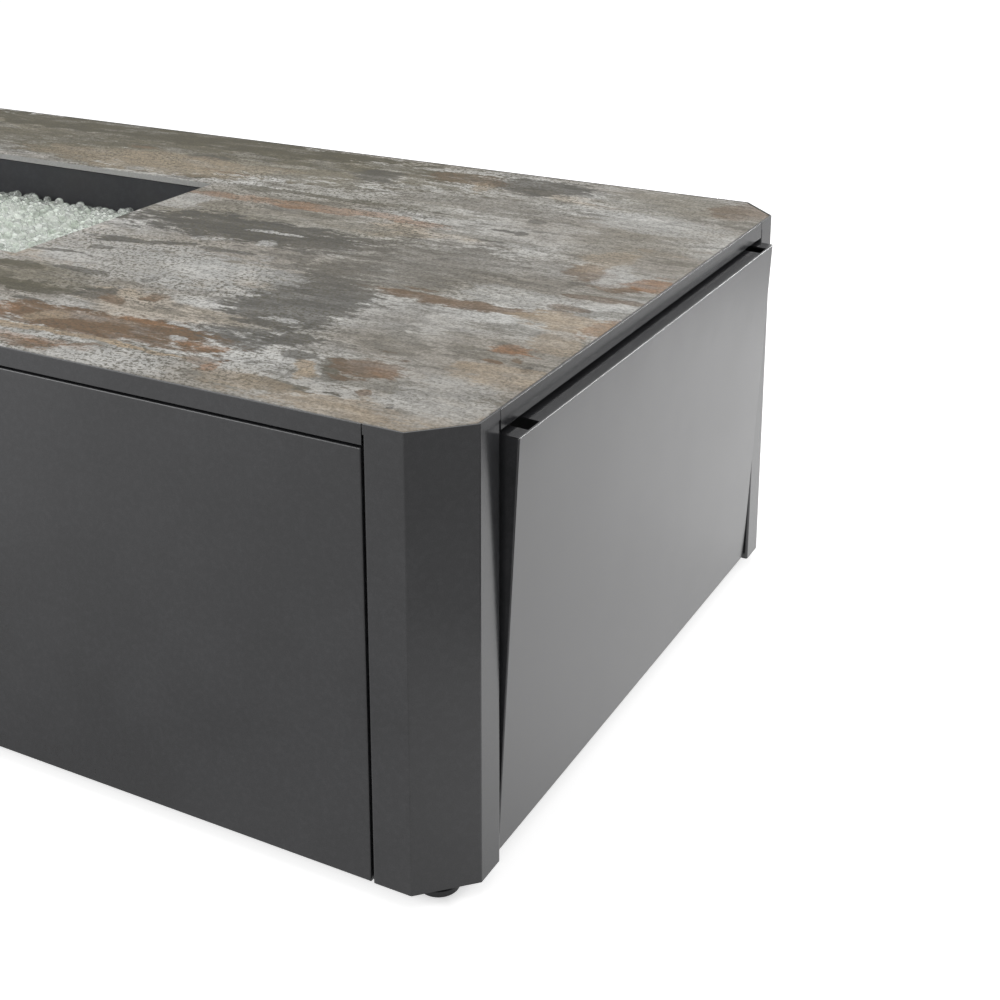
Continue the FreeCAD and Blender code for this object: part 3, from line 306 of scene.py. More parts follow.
def coat_finish(name, colour, roughness, grain, specular=0.60):
    """Powder coat: a fine grain, a faint mottle and small changes of gloss."""
    made = Finish(name)
    made.set(Specular_IOR_Level=specular)
    speckle = made.noise(1 / grain, detail=2.0)
    mottle = made.noise(7.0, detail=4.0, rough=0.6)
    dust = made.noise(160.0, detail=3.0)
    body = made.shade(made.fade(mottle, 0.3, 0.7), made.flat(colour), 0.90, 1.10)
    body = made.shade(made.fade(dust, 0.35, 0.75), body, 0.93, 1.10)
    made.set(Base_Color=made.shade(made.fade(speckle, 0.3, 0.7), body, 0.86, 1.14))
    made.set(Roughness=made.fade(mottle, 0.3, 0.7, roughness - 0.03, roughness + 0.03))
    made.bump(speckle, 0.00003, 0.35)
    return made


def metal_finish(name, colour, roughness, draw=(1, 1, 1), scale=900.0, tone=0.06, depth=0.00001):
    """Bare metal: fine lines along the way it was drawn or brushed, and a slow change of tone."""
    made = Finish(name)
    made.set(Metallic=1.0)
    lines = made.noise(scale, made.stretch(draw), detail=2.0)
    cloud = made.noise(14.0, detail=3.0)
    body = made.shade(made.fade(cloud, 0.25, 0.75), made.flat(colour), 1 - tone, 1 + tone / 2)
    made.set(Base_Color=made.shade(made.fade(lines, 0.3, 0.7), body, 0.94, 1.03))
    made.set(Roughness=made.fade(lines, 0.25, 0.75, roughness - 0.05, roughness + 0.06))
    made.bump(lines, depth, 0.5)
    return made


def plastic_finish(name, colour, roughness=0.45, scale=1400.0, depth=0.00003):
    """Moulded plastic with the fine grain of its mould."""
    made = Finish(name)
    grain = made.noise(scale, detail=2.0)
    cloud = made.noise(30.0, detail=3.0)
    made.set(Base_Color=made.shade(made.fade(cloud, 0.3, 0.7), made.flat(colour), 0.88, 1.14))
    made.set(Roughness=made.fade(grain, 0.2, 0.8, roughness - 0.06, roughness + 0.08))
    made.bump(grain, depth, 0.6)
    return made


def marked(made, share, colour):
    """Paints marks in the colour where share is 1."""
    made.set(Base_Color=made.mix(share, made.colour(), colour))
    if made.shader.inputs["Metallic"].default_value:
        made.set(Metallic=made.math("SUBTRACT", 1.0, share))
    return made


def between(made, value, low, high, soft=0.0001):
    """1 where the value lies between low and high."""
    return made.math("MULTIPLY", made.fade(value, low - soft, low), made.fade(value, high + soft, high))


def knob_finish(colour, mark):
    """Black knob with a painted pointer on the end of its grip."""
    made = plastic_finish("knob_black", colour)
    low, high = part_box("control_knob")
    middle_y, middle_z, half = (low.y + high.y) / 2, (low.z + high.z) / 2, 0.0008
    line = between(made, made.axis("Y"), middle_y - half, middle_y + half)
    reach = between(made, made.axis("Z"), middle_z + 0.003, high.z - 0.006)
    face = made.math("GREATER_THAN", made.axis("X"), high.x - 0.0006)
    return marked(made, made.math("MULTIPLY", made.math("MULTIPLY", line, reach), face), mark)


def dial_finish(mark):
    """Galvanised plate with seven painted marks round the knob."""
    made = galvanised_finish()
    low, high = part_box("knob_bezel")
    centre = made.vector("SUBTRACT", made.place, (0, (low.y + high.y) / 2, (low.z + high.z) / 2))
    y, z = made.axis("Y", centre), made.axis("Z", centre)
    away = made.math("SQRT", made.math("ADD", made.math("MULTIPLY", y, y), made.math("MULTIPLY", z, z)))
    rim, step = (high.y - low.y) / 2, 30
    inner, outer = rim - 0.0042, rim - 0.0014
    ring = between(made, away, inner, outer)
    turn = made.math("DIVIDE", made.math("ARCTAN2", z, y), math.radians(step))
    tick = made.fade(made.math("PINGPONG", made.math("ADD", turn, 360 / step), 0.5), 0.090, 0.075)
    upper = made.math("GREATER_THAN", z, -0.002)
    return marked(made, made.math("MULTIPLY", made.math("MULTIPLY", tick, ring), upper), mark)


# Colours of the slab's stains.
SLAB_TINTS = {
    "ash": (0.560, 0.560, 0.545),
    "wash": (0.198, 0.180, 0.137),
    "olive": (0.088, 0.080, 0.056),
    "dark": (0.088, 0.084, 0.074),
    "taupe": (0.170, 0.157, 0.135),
    "brown": (0.165, 0.107, 0.064),
    "beige": (0.390, 0.310, 0.220),
    "pale": (0.540, 0.535, 0.515),
    "rust": (0.285, 0.150, 0.073),
}

# Turns are rounded to this step, in degrees, and a stain fades between these shares of its size.
TURN_STEP = 20
STAIN_CORE, STAIN_RIM = 0.80, 1.16

# Each stain: its centre and half sizes along and across the table in millimetres, its turn in degrees and
# its strength. Later groups lie over earlier ones.
STAINS = {
    "ash": (
        (452, -128, 104, 72, 0, 0.42),
    ),
    "wash": (
        (240, 300, 400, 84, 0, 0.95), (-110, 310, 150, 100, 0, 0.95),
        (160, 236, 260, 50, 0, 0.85), (350, 270, 140, 50, 0, 0.75), (620, 262, 150, 60, 0, 0.22),
        (470, 60, 170, 60, 3, 0.42), (380, -216, 86, 32, 0, 0.62),
        (730, -60, 110, 60, 0, 0.20), (860, 180, 60, 110, 0, 0.25), (520, 190, 150, 40, 0, 0.40),
        (840, 320, 90, 46, 0, 0.42), (420, 150, 110, 26, 0, 0.36),
    ),
    "olive": (
        (120, 350, 380, 40, 0, 0.86), (-130, 345, 130, 40, 0, 0.85), (150, 300, 300, 26, 0, 0.50),
        (-60, 250, 150, 60, 0, 0.45), (287, 342, 44, 26, 0, 0.75), (30, 276, 110, 26, 0, 0.50),
        (404, -241, 66, 12, 0, 0.70), (350, -196, 46, 10, 0, 0.62), (330, -228, 40, 20, 0, 0.45),
        (500, 331, 110, 16, 0, 0.55), (480, 173, 128, 8, 0, 0.62), (270, 182, 20, 8, 0, 0.75),
        (70, 196, 70, 34, 0, 0.35), (390, 170, 38, 12, 0, 0.55), (437, -237, 26, 16, 15, 0.65),
        (790, -296, 16, 24, 20, 0.60), (765, -343, 30, 17, 10, 0.60), (800, -216, 34, 34, 0, 0.30),
        (372, 36, 26, 16, 30, 0.65), (512, 5, 34, 9, -15, 0.70), (640, -48, 26, 44, 0, 0.35),
    ),
    "dark": (
        (475, 14, 150, 50, 3, 0.80), (665, 327, 74, 30, 0, 0.68), (470, 284, 34, 26, -20, 0.60),
        (664, -160, 56, 136, 9, 0.70), (716, -246, 27, 27, 0, 0.75), (230, 274, 34, 12, 0, 0.55),
        (384, -76, 38, 8, 0, 0.70), (432, -66, 28, 7, 16, 0.70), (490, -60, 17, 7, 0, 0.60),
        (520, -58, 15, 5, 0, 0.60), (384, -108, 13, 8, 0, 0.60), (345, -137, 38, 5, 0, 0.60),
        (590, -72, 28, 8, 0, 0.40), (416, -178, 30, 6, 0, 0.65), (476, -230, 22, 18, 0, 0.68),
        (492, -168, 10, 6, 40, 0.55), (620, -281, 24, 12, -5, 0.85), (430, -268, 24, 5, 0, 0.60),
        (715, 140, 15, 5, 0, 0.60), (740, 139, 10, 8, 0, 0.60), (724, 106, 30, 3, 0, 0.55),
        (735, 190, 14, 11, -30, 0.45), (868, 10, 12, 5, 0, 0.50), (875, -339, 6, 6, 0, 0.85),
        (929, -216, 6, 7, 0, 0.70), (810, -338, 9, 3, 0, 0.75), (797, -344, 5, 3, 0, 0.75),
        (885, -363, 5, 5, 0, 0.75), (192, 176, 9, 4, 0, 0.70), (748, -280, 18, 10, 0, 0.62),
        (783, -42, 5, 12, -30, 0.40), (660, 72, 42, 6, 0, 0.38), (870, 262, 12, 9, 0, 0.35),
    ),
    "taupe": (
        (708, -10, 104, 100, 0, 0.62), (820, 20, 60, 60, 0, 0.35), (575, -15, 40, 34, 0, 0.45),
        (640, 230, 120, 40, 0, 0.30), (752, -170, 46, 74, 0, 0.24),
    ),
    "brown": (
        (537, -300, 142, 30, 1, 1.00), (925, 332, 40, 34, 0, 0.45), (575, 326, 44, 28, 0, 0.42),
        (785, -91, 104, 11, 2, 0.66), (742, -73, 26, 4, 0, 0.55), (862, 50, 26, 24, 30, 0.48),
        (910, 13, 28, 10, 0, 0.62), (916, -22, 34, 9, 0, 0.62), (815, -284, 30, 40, 15, 0.62),
        (505, -236, 20, 12, -15, 0.60), (534, -209, 13, 10, 0, 0.68), (300, 218, 48, 6, -3, 0.62),
        (895, -213, 9, 6, 0, 0.72), (912, -205, 5, 6, 0, 0.62), (833, -322, 6, 7, 0, 0.62),
        (672, -329, 20, 12, 0, 0.55), (505, -361, 46, 11, 3, 0.70), (110, 276, 18, 6, 0, 0.50),
        (900, -64, 20, 14, 0, 0.45), (560, -348, 26, 4, 12, 0.55),
    ),
    "beige": (
        (180, 222, 150, 48, 0, 0.36), (915, -100, 48, 30, 0, 0.62), (920, -242, 44, 28, 0, 0.50),
        (850, -358, 78, 24, 0, 0.48), (590, -330, 90, 6, 5, 0.85), (470, -330, 60, 7, 0, 0.78),
        (768, -305, 9, 22, 25, 0.62), (320, 250, 70, 16, 0, 0.28), (610, 300, 16, 24, 20, 0.42),
        (865, 90, 26, 40, 0, 0.32), (480, -301, 22, 12, 40, 0.50), (735, -350, 44, 22, 0, 0.42),
        (925, -150, 34, 26, 0, 0.42),
    ),
    "pale": (
        (600, -363, 64, 13, 0, 0.62), (895, 46, 20, 30, 10, 0.40), (850, 240, 66, 40, 0, 0.42),
        (820, -48, 46, 24, 0, 0.40), (330, 85, 34, 44, 0, 0.45), (682, -209, 20, 4, -5, 0.62),
        (460, -30, 26, 8, 22, 0.55), (527, -20, 11, 12, 0, 0.55), (515, 21, 34, 5, -5, 0.62),
        (628, -291, 9, 5, 0, 0.80), (540, -120, 96, 44, 0, 0.40), (905, -310, 50, 50, 0, 0.35),
    ),
    "rust": (
        (470, 128, 178, 15, 0, 0.46), (500, 122, 52, 9, -10, 0.50), (936, 40, 22, 22, 0, 0.55),
        (897, -184, 24, 13, 5, 0.66), (698, -334, 11, 9, -20, 0.62), (575, -272, 34, 5, 2, 0.42),
        (495, -352, 60, 10, 3, 0.34), (425, -305, 22, 22, 30, 0.30), (828, -282, 16, 16, 0, 0.20),
        (655, -296, 24, 8, 0, 0.45), (620, 128, 30, 12, 0, 0.34), (946, -100, 16, 26, 0, 0.35),
    ),
}


def stain_group(made, stains, spot, torn, views):
    """Where the stains of one colour lie on the slab, with torn edges.

    Stains share a few turned and drawn-out views of the slab, in which each of them is round.
    """
    total = None
    for x, y, along, across, turn, strength in stains:
        if across > along:
            along, across, turn = across, along, turn + 90
        turn, drawn = TURN_STEP * round(turn / TURN_STEP), 2 ** round(math.log2(along / across))
        back = Matrix.Rotation(math.radians(-turn), 2)
        if (turn, drawn) not in views:
            view = made.stretch((1, 1, 1), turn=math.radians(-turn), source=spot)
            views[turn, drawn] = made.vector("MULTIPLY", view, (1, drawn, 0))
        centre = back @ Vector((x, y)) * MILLIMETRE
        size = math.sqrt(along * across * drawn) * MILLIMETRE
        far = made.vector("DISTANCE", views[turn, drawn], (centre.x, centre.y * drawn, 0))
        share = made.math("MULTIPLY_ADD", far, 1 / size, torn)
        one = made.fade(share, STAIN_RIM, STAIN_CORE, 0.0, min(1.0, strength * 1.25))
        total = made.math("MAXIMUM", total, one) if total else one
    return total


def slab_finish(settings):
    """Glazed porcelain with the look of old, stained metal, and a plain grey body at its cut edges."""
    made = Finish("stained_porcelain")
    # The printed stains repeat: left of the seam the slab carries the right part's, moved and turned over.
    seam, repeat, clear = -0.29, 1.20, 0.07
    sway = made.vector("SUBTRACT", made.noise(9.0, detail=4.0, rough=0.6, colour=True), (0.5, 0.5, 0.5))
    fine = made.vector("SUBTRACT", made.noise(70.0, detail=3.0, rough=0.6, colour=True), (0.5, 0.5, 0.5))
    swayed = made.vector("ADD", made.place, made.vector("MULTIPLY", sway, (0.05, 0.034, 0)))
    swayed = made.vector("ADD", swayed, made.vector("MULTIPLY", fine, (0.014, 0.010, 0)))
    left = made.math("LESS_THAN", made.axis("X", swayed), seam)
    turned = made.vector("ADD", made.vector("MULTIPLY", swayed, (1, -1, 0)), (repeat, 0, 0))
    right_spot = made.vector("MULTIPLY", swayed, (1, 1, 0))
    left_spot = made.vector("MULTIPLY", turned, (1, 1, 0))
    spot = made.swap(left, right_spot, left_spot)
    away = made.math("ABSOLUTE", made.math("SUBTRACT", made.axis("X", swayed), seam))
    window = made.fade(away, 0.0, clear)

    broad = made.noise(5.0, made.stretch((0.6, 1.5, 1)), detail=5.0, rough=0.62)
    warm = made.noise(3.4, made.stretch((0.7, 1.4, 1), shift=(4, 2, 0)), detail=4.0, rough=0.55)
    drag = made.noise(16.0, made.stretch((0.50, 2.0, 1), shift=(0.5, 0.2, 0)), detail=6.0, rough=0.7)
    strokes = made.noise(34.0, made.stretch((0.40, 1.5, 1), shift=(0.1, 0.7, 0)), detail=6.0, rough=0.72)
    ragged = made.noise(75.0, made.stretch((0.5, 1.4, 1)), detail=5.0, rough=0.75)
    pepper = made.noise(270.0, made.stretch((0.8, 1.0, 1)), detail=3.0, rough=0.7)
    grit = made.noise(520.0, made.stretch((0.7, 1.0, 1)), detail=2.0)

    # The weather has bitten in clusters, and deeper round the well than at the slab's end.
    cluster = made.noise(6.5, made.stretch((0.8, 1.2, 1), shift=(1, 5, 0)), detail=3.0)
    bitten = made.math("ADD", strokes, made.fade(cluster, 0.42, 0.60, -0.075, 0.012))
    bitten = made.math("ADD", bitten, made.fade(made.axis("X", spot), 0.45, 0.95, 0.012, -0.035))
    body = made.mix(made.fade(warm, 0.42, 0.60), settings.slab_light, settings.slab_warm)
    body = made.mix(made.fade(broad, 0.56, 0.64, 0.0, 0.55), body, SLAB_TINTS["beige"])
    body = made.mix(made.fade(broad, 0.44, 0.36, 0.0, 0.35), body, SLAB_TINTS["pale"])
    body = made.mix(made.fade(drag, 0.54, 0.60, 0.0, 0.45), body, SLAB_TINTS["olive"])
    body = made.mix(made.fade(bitten, 0.550, 0.610, 0.0, 0.58), body, SLAB_TINTS["dark"])
    body = made.mix(made.fade(strokes, 0.40, 0.34, 0.0, 0.25), body, SLAB_TINTS["pale"])

    torn = made.math("ADD", made.fade(drag, 0.2, 0.8, -0.45, 0.45), made.fade(ragged, 0.2, 0.8, -0.45, 0.45))
    worn = made.fade(strokes, 0.34, 0.58, 0.62, 1.06)
    even = made.fade(strokes, 0.34, 0.58, 0.82, 1.03)
    views = {}
    for name, stains in STAINS.items():
        share = made.math("MULTIPLY", stain_group(made, stains, spot, torn, views), window)
        share = made.math("MULTIPLY", share, even if name == "dark" else worn)
        body = made.mix(share, body, SLAB_TINTS[name])

    patch = made.noise(9.0, made.stretch((1, 1, 1), shift=(2, 7, 0)), detail=2.0)
    patch = made.fade(patch, 0.42, 0.56, 0.60, 1.0)
    calm = made.fade(made.axis("X", spot), 0.62, 0.86, 0.80, 0.45)
    peppered = made.math("MULTIPLY", made.fade(pepper, 0.505, 0.570), made.math("MULTIPLY", patch, calm))
    body = made.mix(peppered, body, SLAB_TINTS["olive"])
    body = made.shade(made.fade(ragged, 0.30, 0.70), body, 0.80, 1.16)
    body = made.shade(made.fade(grit, 0.3, 0.7), body, 0.86, 1.12)

    edge = made.shade(made.fade(grit, 0.3, 0.7), made.flat(settings.slab_body), 0.92, 1.06)
    on_top = made.fade(made.axis("Z"), SLAB_BOX[1].z - 0.0006, SLAB_BOX[1].z - 0.0003)
    made.set(Base_Color=made.mix(on_top, edge, body), Specular_IOR_Level=0.10)
    rough = settings.slab_roughness
    made.set(Roughness=made.fade(ragged, 0.2, 0.8, rough - 0.06, rough + 0.08))
    first = made.bump(ragged, 0.0004, 0.30)
    made.bump(grit, 0.00008, 0.45, first)
    return made


def galvanised_finish():
    """Zinc-dipped sheet with its soft crystal pattern."""
    made = Finish("galvanised_sheet")
    crystal = made.cells(62.0, output="Color")
    fleck = made.axis("X", crystal)
    cloud = made.noise(9.0, detail=4.0)
    body = made.shade(fleck, made.flat((0.50, 0.51, 0.525)), 0.84, 1.10)
    made.set(Metallic=1.0, Base_Color=made.shade(made.fade(cloud, 0.3, 0.7), body, 0.90, 1.04))
    made.set(Roughness=made.fade(fleck, 0.0, 1.0, 0.30, 0.46))
    made.bump(made.noise(700.0, detail=2.0), 0.00002, 0.5)
    return made


def hood_finish(name):
    """Brushed stainless steel that heat has tinted straw and blue above the glass."""
    made = metal_finish(name, (0.60, 0.60, 0.585), 0.30, draw=(1, 1, 0.06))
    base = made.colour()
    stray = made.fade(made.noise(40.0, detail=2.0), 0.2, 0.8, -0.006, 0.006)
    height = made.math("ADD", made.axis("Z"), stray)
    straw = made.mix(made.fade(height, STRAW_LOW, STRAW_HIGH, 0.0, 0.7), base, (0.55, 0.43, 0.25))
    blue = made.fade(height, BLUE_LOW, BLUE_HIGH, 0.0, 0.55)
    made.set(Base_Color=made.mix(blue, straw, (0.20, 0.22, 0.34)))
    return made


def threaded(made, pitch, share=None):
    """Adds the ridges of a thread that runs up the Z axis."""
    wave = made.math("SINE", made.math("MULTIPLY", made.axis("Z"), math.tau / pitch))
    if share:
        wave = made.math("MULTIPLY", wave, share)
    made.bump(wave, 0.0004, 0.9)
    return made


def foot_finish(plastic):
    """Black glide below, zinc-plated threaded stem above."""
    made = metal_finish("levelling_foot", (0.60, 0.60, 0.61), 0.34)
    base = made.colour()
    stem = made.fade(made.axis("Z"), GLIDE_TOP - 0.0002, GLIDE_TOP + 0.0002)
    made.set(Base_Color=made.mix(stem, plastic, base), Metallic=stem)
    made.set(Roughness=made.math("SUBTRACT", 0.50, made.math("MULTIPLY", stem, 0.16)))
    return threaded(made, 0.0015, stem)


def electrode_finish():
    """White glazed ceramic sleeve with a bare steel wire at its tip."""
    made = Finish("ceramic_and_wire")
    speck = made.noise(500.0, detail=2.0)
    wire = made.fade(made.axis("Z"), SLEEVE_TOP - 0.0002, SLEEVE_TOP + 0.0002)
    glaze = made.shade(made.fade(speck, 0.2, 0.8), made.flat((0.80, 0.79, 0.75)), 0.94, 1.03)
    made.set(Base_Color=made.mix(wire, glaze, (0.42, 0.41, 0.40)), Metallic=wire)
    made.set(Roughness=made.fade(speck, 0.2, 0.8, 0.16, 0.26), Coat_Weight=0.3)
    made.bump(speck, 0.00002, 0.4)
    return made


def probe_finish():
    """Steel probe above the burner and a copper lead below it."""
    made = metal_finish("drawn_copper", (0.66, 0.37, 0.25), 0.34, draw=(0.1, 1, 1))
    base = made.colour()
    tarnish = made.fade(made.noise(120.0, detail=4.0), 0.45, 0.7, 0.0, 0.5)
    lead = made.mix(tarnish, base, (0.30, 0.15, 0.10))
    probe = made.fade(made.axis("Z"), PROBE_LOW, PROBE_HIGH)
    made.set(Base_Color=made.mix(probe, lead, (0.52, 0.51, 0.49)))
    return made


def bead_finish(name, settings, clear):
    """Pale green tumbled glass, clear or milky."""
    made = Finish(name)
    cell = made.axis("X", made.cells(95.0, output="Color"))
    colour = made.shade(cell, made.flat(settings.glass), 0.98, 1.12)
    made.set(Base_Color=colour, Transmission_Weight=clear, IOR=1.42, Coat_Weight=0.6, Coat_Roughness=0.03)
    made.set(Roughness=made.fade(made.noise(260.0, detail=2.0), 0.3, 0.7, 0.01, 0.06))
    made.bump(made.noise(130.0, detail=2.0), 0.0007, 0.35)
    return made


def bed_finish(settings):
    """The beads lower down, seen between those on top."""
    made = Finish("glass_below")
    cell = made.cells(92.0)
    # Painted shade: each bumped bead is a little darker towards its rim, in the hollows between the beads.
    gap_shade = made.fade(cell, 0.0, 0.62)
    made.set(Base_Color=made.mix(gap_shade, settings.glass, (0.93, 0.98, 0.93)), Roughness=0.25)
    made.bump(made.math("SUBTRACT", 1.0, cell), 0.004, 0.8)
    return made


def paint(nodes, made):
    """Gives the CAD nodes this finish in place of their plain one."""
    for name in nodes:
        for slot in frame["nodes"][name].material_slots:
            slot.material = made.material


def nodes_of(slot):
    return [row["node"] for row in frame["record"]["subparts"] if row["material_slot"] == slot]


def piece(name, source, made, body):
    """Makes the mesh an object in the table's frame, with its finish, body and slot."""
    mesh = bpy.data.meshes.new(name)
    source.to_mesh(mesh)
    source.free()
    for face in mesh.polygons:
        face.use_smooth = True
    thing = bpy.data.objects.new(name, mesh)
    bpy.context.scene.collection.objects.link(thing)
    mesh.materials.append(made.material)
    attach(thing, body)
    return thing


class FIRETABLE_OT_stage(Operator):
    """Sets up the pale floor, the soft lamps and the camera"""

    bl_idname = "fire_table.stage"
    bl_label = "Stage"

    def execute(self, context):
        settings = context.scene.fire_table.stage
        context.scene.view_settings.view_transform = "Standard"
        self.floor(settings)
        self.sky(context.scene, settings)
        self.lamp("top", settings.top_lamp)
        self.lamp("front", settings.front_lamp)
        self.lamp("end", settings.end_lamp)
        self.glint(settings.glint_lamp)
        self.camera(context.scene)
        return {"FINISHED"}

    def floor(self, settings):
        grid = bmesh.new()
        bmesh.ops.create_grid(grid, x_segments=4, y_segments=4, size=40)
        mesh = bpy.data.meshes.new("floor")
        grid.to_mesh(mesh)
        grid.free()
        floor = bpy.data.objects.new("floor", mesh)
        bpy.context.scene.collection.objects.link(floor)
        made = Finish("pale_floor")
        made.tree.nodes.remove(made.shader)
        surface = made.tree.nodes["Material Output"].inputs["Surface"]
        ground = made.node("ShaderNodeBsdfDiffuse")
        glow = made.node("ShaderNodeEmission")
        # Painted reflection: only rays in reflections see this. There the floor glows more round
        # MIRRORED_MIDDLE and turns black beyond the slanted line, and the door mirrors both.
        far = made.vector("DISTANCE", made.place, MIRRORED_MIDDLE)
        out = made.math("MULTIPLY_ADD", made.axis("Y"), REFLECTION_SLANT, made.axis("X"))
        shine = made.fade(far, MIRRORED_NEAR, MIRRORED_FAR, settings.shine, 0.1)
        shine = made.math("MULTIPLY", shine, made.fade(out, 1.29, 1.39, 1.0, 0.1))
        shine = made.math("SUBTRACT", shine, settings.lift)
        mirrored = made.node("ShaderNodeLightPath").outputs["Is Glossy Ray"]
        dark_reflection = made.fade(out, DARK_REFLECTION_START, DARK_REFLECTION_FULL)
        dark_reflection = made.math("MULTIPLY", dark_reflection, made.fade(far, 1.10, 0.80, 0.0, 0.85))
        pale = made.flat(settings.floor)
        dark = made.math("MULTIPLY", mirrored, dark_reflection)
        made.put(ground.inputs["Color"], made.mix(dark, pale, (0, 0, 0)))
        added = made.math("MULTIPLY_ADD", mirrored, shine, settings.lift)
        made.put(glow.inputs["Strength"], made.math("MULTIPLY", added, self.uncovered(made)))
        lit = made.node("ShaderNodeAddShader")
        made.put(lit.inputs[0], ground.outputs[0])
        made.put(lit.inputs[1], glow.outputs[0])
        seen = made.node("ShaderNodeMixShader")
        made.put(seen.inputs[0], any_ray(made.tree))
        made.put(seen.inputs[1], ground.outputs[0])
        made.put(seen.inputs[2], lit.outputs[0])
        made.put(surface, seen.outputs[0])
        mesh.materials.append(made.material)

    def uncovered(self, made):
        """1 on open floor, and little under the table, where the floor keeps its full shadow."""
        over_x = made.math("SUBTRACT", made.math("ABSOLUTE", made.axis("X")), SLAB_BOX[1].x)
        over_y = made.math("SUBTRACT", made.math("ABSOLUTE", made.axis("Y")), SLAB_BOX[1].y)
        covered, open_floor, least = -0.055, -0.005, 0.08
        return made.fade(made.math("MAXIMUM", over_x, over_y), covered, open_floor, least, 1.0)

    def sky(self, scene, settings):
        world = bpy.data.worlds.new("sky")
        world.use_nodes = True
        scene.world = world
        tree = world.node_tree
        soft = tree.nodes["Background"]
        soft.inputs["Color"].default_value = (1, 1, 1, 1)
        soft.inputs["Strength"].default_value = settings.sky
        white = tree.nodes.new("ShaderNodeBackground")
        white.inputs["Color"].default_value = (1, 1, 1, 1)
        seen = tree.nodes.new("ShaderNodeMixShader")
        tree.links.new(any_ray(tree), seen.inputs[0])
        tree.links.new(soft.outputs[0], seen.inputs[1])
        tree.links.new(white.outputs[0], seen.inputs[2])
        tree.links.new(seen.outputs[0], tree.nodes["World Output"].inputs["Surface"])

    def lamp(self, name, power):
        place, target, side = LAMPS[name]
        data = bpy.data.lights.new("lamp_" + name, "AREA")
        data.shape = "SQUARE"
        data.size = side
        data.energy = power
        lamp = bpy.data.objects.new("lamp_" + name, data)
        lamp.location = place
        lamp.rotation_euler = (Vector(target) - Vector(place)).to_track_quat("-Z", "Y").to_euler()
        bpy.context.scene.collection.objects.link(lamp)
        return lamp

    def glint(self, power):
        """A low, slim lamp far behind, that only draws a bright line along the door's top fold."""
        lamp = self.lamp("glint", power)
        lamp.data.shape = "RECTANGLE"
        lamp.data.size_y = GLINT_HEIGHT
        lamp.visible_diffuse = False
        lamp.visible_transmission = False

    def camera(self, scene):
        data = bpy.data.cameras.new("camera")
        data.sensor_width = 36
        data.lens = CAMERA_LENS * data.sensor_width
        data.shift_y = CAMERA_SHIFT
        camera = bpy.data.objects.new("camera", data)
        camera.location = CAMERA_PLACE
        camera.rotation_euler = (math.radians(90 - CAMERA_PITCH), 0, math.radians(CAMERA_TURN))
        scene.collection.objects.link(camera)
        scene.camera = camera


def any_ray(tree):
    """1 for rays that look: from the camera, in a reflection or through glass."""
    path = tree.nodes.new("ShaderNodeLightPath")
    total = path.outputs["Is Camera Ray"]
    for name in ("Is Glossy Ray", "Is Transmission Ray"):
        either = tree.nodes.new("ShaderNodeMath")
        either.operation = "MAXIMUM"
        tree.links.new(total, either.inputs[0])
        tree.links.new(path.outputs[name], either.inputs[1])
        total = either.outputs[0]
    return total


class FIRETABLE_OT_coated_steel(Operator):
    """Coats the posts, rails, panels and door, and paints the frame behind them"""

    bl_idname = "fire_table.coated_steel"
    bl_label = "Coated Steel"

    def execute(self, context):
        colours = context.scene.fire_table.finishes
        coat = coat_finish("charcoal_powder_coat", colours.coat, colours.coat_roughness, colours.grain)
        paint(nodes_of("powder_coat"), coat)
        paint(nodes_of("frame_black"), coat_finish("frame_black_coat", colours.black, 0.50, 0.0009, 0.35))
        liner = coat_finish("heat_resistant_black", colours.liner, 0.62, 0.0006, 0.30)
        soot = liner.fade(liner.noise(16.0, liner.stretch((1, 1, 0.5)), detail=5.0, rough=0.65), 0.45, 0.75)
        soot = liner.math("MULTIPLY", soot, 0.35)
        liner.set(Base_Color=liner.mix(soot, liner.colour(), (0.060, 0.058, 0.056)))
        paint(nodes_of("heat_black"), liner)
        return {"FINISHED"}


class FIRETABLE_OT_slab(Operator):
    """Glazes the porcelain slab and colours the pads under it"""

    bl_idname = "fire_table.slab"
    bl_label = "Slab"

    def execute(self, context):
        paint(nodes_of("porcelain"), slab_finish(context.scene.fire_table.finishes))
        paint(nodes_of("silicone"), plastic_finish("soft_silicone", (0.035, 0.035, 0.035), 0.7))
        return {"FINISHED"}


class FIRETABLE_OT_metals(Operator):
    """Finishes the burner, the fittings and the screws"""

    bl_idname = "fire_table.metals"
    bl_label = "Metals"

    def execute(self, context):
        stainless = metal_finish("brushed_stainless", (0.60, 0.60, 0.585), 0.30, draw=(0.05, 1, 1))
        paint(nodes_of("stainless"), stainless)
        paint(["pilot_hood"], hood_finish("heat_tinted_stainless"))
        paint(nodes_of("galvanised"), galvanised_finish())
        paint(["knob_bezel"], dial_finish((0.03, 0.03, 0.03)))
        paint(nodes_of("zinc"), metal_finish("zinc_plate", (0.60, 0.60, 0.62), 0.32, scale=1500.0))
        nickel = metal_finish("nickel_plate", (0.68, 0.66, 0.62), 0.16, scale=600.0, depth=0.000004)
        paint(nodes_of("nickel"), nickel)
        paint(nodes_of("brass"), metal_finish("machined_brass", (0.70, 0.51, 0.22), 0.28))
        paint(nodes_of("copper"), probe_finish())
        alloy = metal_finish(
            "die_cast_alloy", (0.52, 0.52, 0.53), 0.48, scale=1100.0, tone=0.10, depth=0.00004)
        paint(nodes_of("valve_alloy"), alloy)
        paint(["gas_inlet"], threaded(metal_finish("threaded_brass", (0.70, 0.51, 0.22), 0.26), 0.00141))
        return {"FINISHED"}


